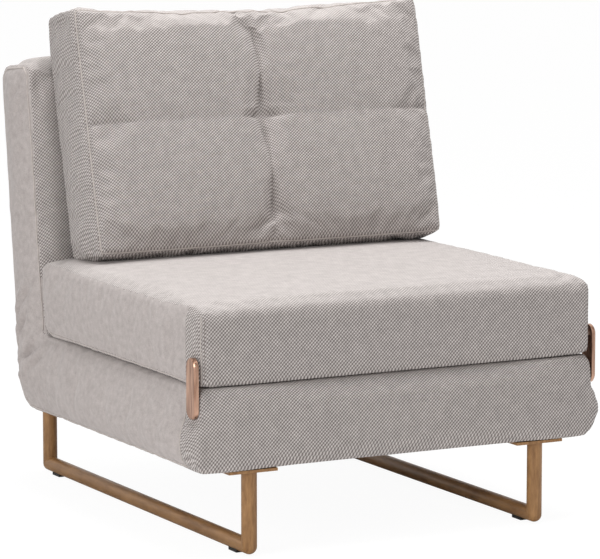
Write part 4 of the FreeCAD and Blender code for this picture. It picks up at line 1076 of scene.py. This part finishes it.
# %% Pillow grooves and zip channel
for path, deep in ((upright, 0.0042), (level, 0.0030)):
    groove(pillow, path, deep, 0.010)
    groove(pillow, path, 0.0030, 0.0036)
for seam in pillow_seams:
    groove(pillow, seam, 0.002, 0.004)
points = points_of(pillow)
local_up = (points - np.array(pillow_foot)) @ np.array(pillow_up)
local_out = (points - np.array(pillow_foot)) @ np.array(pillow_out)
at_zip = (np.abs(points[:, 0]) < 0.305) & (np.abs(local_out - 0.056) < 0.010) & (local_up < 0.03)
points += np.array(pillow_up) * np.where(at_zip, np.maximum(0, 0.0032 - local_up), 0)[:, None]
move_to(pillow, points)
finish_soft(pillow, [front_weave])
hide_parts("pillow_cover", "pillow_filling")
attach(pillow, "pillow")

# %% [markdown]
# Both seams of the pillow carry the thin roll, and the upright front edges also show a row
# of small dark stitches.

# %% Pillow piping
pillow_rolls = [welt(pillow, path, "pillow_roll", 0.0014, 0.0005) for path in pillow_seams]
pillow_piping = joined(pillow_rolls, "pillow_piping", welt_thread)
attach(pillow_piping, "pillow")
edge_rows = []
for side in (-1, 1):
    x = side * (pillow_half - 0.001)
    edge = [tuple(on_pillow(x, up, pillow_deep - 0.001)) for up in (0.03, pillow_tall - 0.03)]
    edge_rows.append(stitches(pillow, edge, "edge_row", 0.0038, 0.0010, 0.0050, 0.0034))
pillow_stitches = joined(edge_rows, "pillow_stitches", stitch_thread)
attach(pillow_stitches, "pillow")

# %% [markdown]
# ## Hard pieces
# The tubes, straps, brackets and slats keep their solids. They only need their finishes:
# printed oak on the sled legs, brushed copper on the straps, zinc and black powder coat on
# the parts that the covers hide.

# %% Oak finish
def oak_finish():
    """Fine long grain that follows the tube: the noise is stretched along the rails."""
    material, tree, shader, coordinates = new_material("oak_print", 0.42, specular=0.45)
    stretch = tree.nodes.new("ShaderNodeMapping")
    stretch.inputs["Scale"].default_value = (60, 5, 9)
    tree.links.new(coordinates, stretch.inputs["Vector"])
    grain = tree.nodes.new("ShaderNodeTexNoise")
    grain.inputs["Scale"].default_value = 3.0
    grain.inputs["Detail"].default_value = 6
    grain.inputs["Roughness"].default_value = 0.65
    tree.links.new(stretch.outputs[0], grain.inputs["Vector"])
    shade = mixed(tree, remap(tree, grain.outputs[0], 0.3, 0.7), colour(124, 87, 50), colour(172, 129, 84))
    tree.links.new(shade, shader.inputs["Base Color"])
    bumped(tree, shader, grain.outputs[0], 0.12, 0.0006)
    return material

# %% [markdown]
# Brushed metal is fine lines in tone, gloss and height. The lines are a noise that is
# stretched along the strap.

# %% Brushed metal
def brushed(name, light, dark, roughness, scale):
    material, tree, shader, coordinates = new_material(name, roughness, metallic=1.0)
    stretch = tree.nodes.new("ShaderNodeMapping")
    stretch.inputs["Scale"].default_value = scale
    tree.links.new(coordinates, stretch.inputs["Vector"])
    lines = tree.nodes.new("ShaderNodeTexNoise")
    lines.inputs["Scale"].default_value = 30
    lines.inputs["Detail"].default_value = 3
    tree.links.new(stretch.outputs[0], lines.inputs["Vector"])
    shade = mixed(tree, remap(tree, lines.outputs[0], 0.3, 0.7), dark, light)
    tree.links.new(shade, shader.inputs["Base Color"])
    gloss = remap(tree, lines.outputs[0], 0.2, 0.8, roughness - 0.08, roughness + 0.1)
    tree.links.new(gloss, shader.inputs["Roughness"])
    bumped(tree, shader, lines.outputs[0], 0.1, 0.0003)
    return material

# %% [markdown]
# The hidden pieces are paint, plastic, rubber, lacquered wood, board and foam. One recipe
# serves them all, with its own colour, gloss and grain.

# %% Coated and plain finishes
def coated(name, base, roughness, grain_scale, strength):
    """Paint, plastic, rubber or foam: one colour with a fine grain in tone and height."""
    material, tree, shader, coordinates = new_material(name, roughness, specular=0.4)
    grain = place_group(tree, mottle, coordinates, Coarse=12.0, Fine=grain_scale)
    low = [value * 0.82 for value in base[:3]] + [1]
    high = [min(1, value * 1.12) for value in base[:3]] + [1]
    shade = mixed(tree, remap(tree, grain.outputs["Value"], 0.35, 0.65), low, high)
    tree.links.new(shade, shader.inputs["Base Color"])
    bumped(tree, shader, grain.outputs["Value"], strength, 0.0004)
    return material


oak = oak_finish()
copper = brushed("brushed_copper", colour(204, 165, 143), colour(132, 101, 85), 0.3, (4, 4, 0.5))
zinc = brushed("zinc_plate", colour(205, 205, 206), colour(165, 166, 168), 0.35, (1, 1, 1))
bright = brushed("zip_silver", colour(225, 225, 225), colour(190, 190, 190), 0.25, (2, 2, 2))
black = coated("black_powder_coat", colour(38, 38, 40), 0.55, 900, 0.2)
plastic = coated("dark_plastic", colour(44, 42, 41), 0.5, 700, 0.15)
rubber = coated("black_rubber", colour(34, 34, 34), 0.8, 800, 0.3)
beech = coated("lacquered_beech", colour(214, 184, 142), 0.4, 300, 0.1)
board = coated("hardboard", colour(146, 116, 84), 0.7, 500, 0.3)
tape = plush_fabric("zip_tape", colour(150, 142, 137), colour(118, 110, 105))
foam = coated("foam", colour(226, 218, 190), 0.95, 500, 0.5)

# %% [markdown]
# The record gives every solid a material slot, and each slot has one finish here.

# %% Finishes on the solids
finishes = {
    "steel": oak,
    "glide_plastic": plastic,
    "rail_steel": black,
    "frame_steel": black,
    "board": board,
    "slat_wood": beech,
    "slat_plastic": plastic,
    "copper": copper,
    "hinge_steel": zinc,
    "cover_fabric": side_plush,
    "foam": foam,
    "leg_steel": black,
    "foot_rubber": rubber,
    "zip_tape": tape,
    "zip_metal": bright,
}
for part in frame["record"]["subparts"]:
    node = nodes[part["node"]]
    node.data.materials.clear()
    node.data.materials.append(finishes[part["material_slot"]])
print("finishes on", len(nodes), "solids")

# %% [markdown]
# Round-headed bolts hold the leg plates and the rear rails from below. Their heads are the
# only part that shows, so only those are made, seated on the plates.

# %% Bolt heads
def bolt_heads(name, spots, radius, height, towards):
    bm = bmesh.new()
    turn = Vector((0, 0, 1)).rotation_difference(Vector(towards)).to_matrix().to_4x4()
    for spot in spots:
        made = bmesh.ops.create_cone(
            bm, cap_ends=True, segments=20, radius1=radius, radius2=radius * 0.7, depth=height
        )
        bmesh.ops.transform(bm, matrix=Matrix.Translation(Vector(spot)) @ turn, verts=made["verts"])
    heads = to_object(bm, name)
    heads.data.materials.append(zinc)
    return heads


plate_low, rail_low = 0.145, 0.120
leg_x, front_post, rail_rear = 0.281, 0.0205 - 0.426, 0.430
spots = []
for side in (-1, 1):
    for step in (-0.033, 0.033):
        spots.append((side * leg_x + step, front_post, plate_low - 0.0015))
    for back_off in (0.018, 0.060):
        spots.append((side * leg_x, rail_rear - back_off, rail_low - 0.0015))
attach(bolt_heads("leg_bolt_heads", spots, 0.0065, 0.003, (0, 0, -1)), "base")
print(len(spots), "bolt heads")
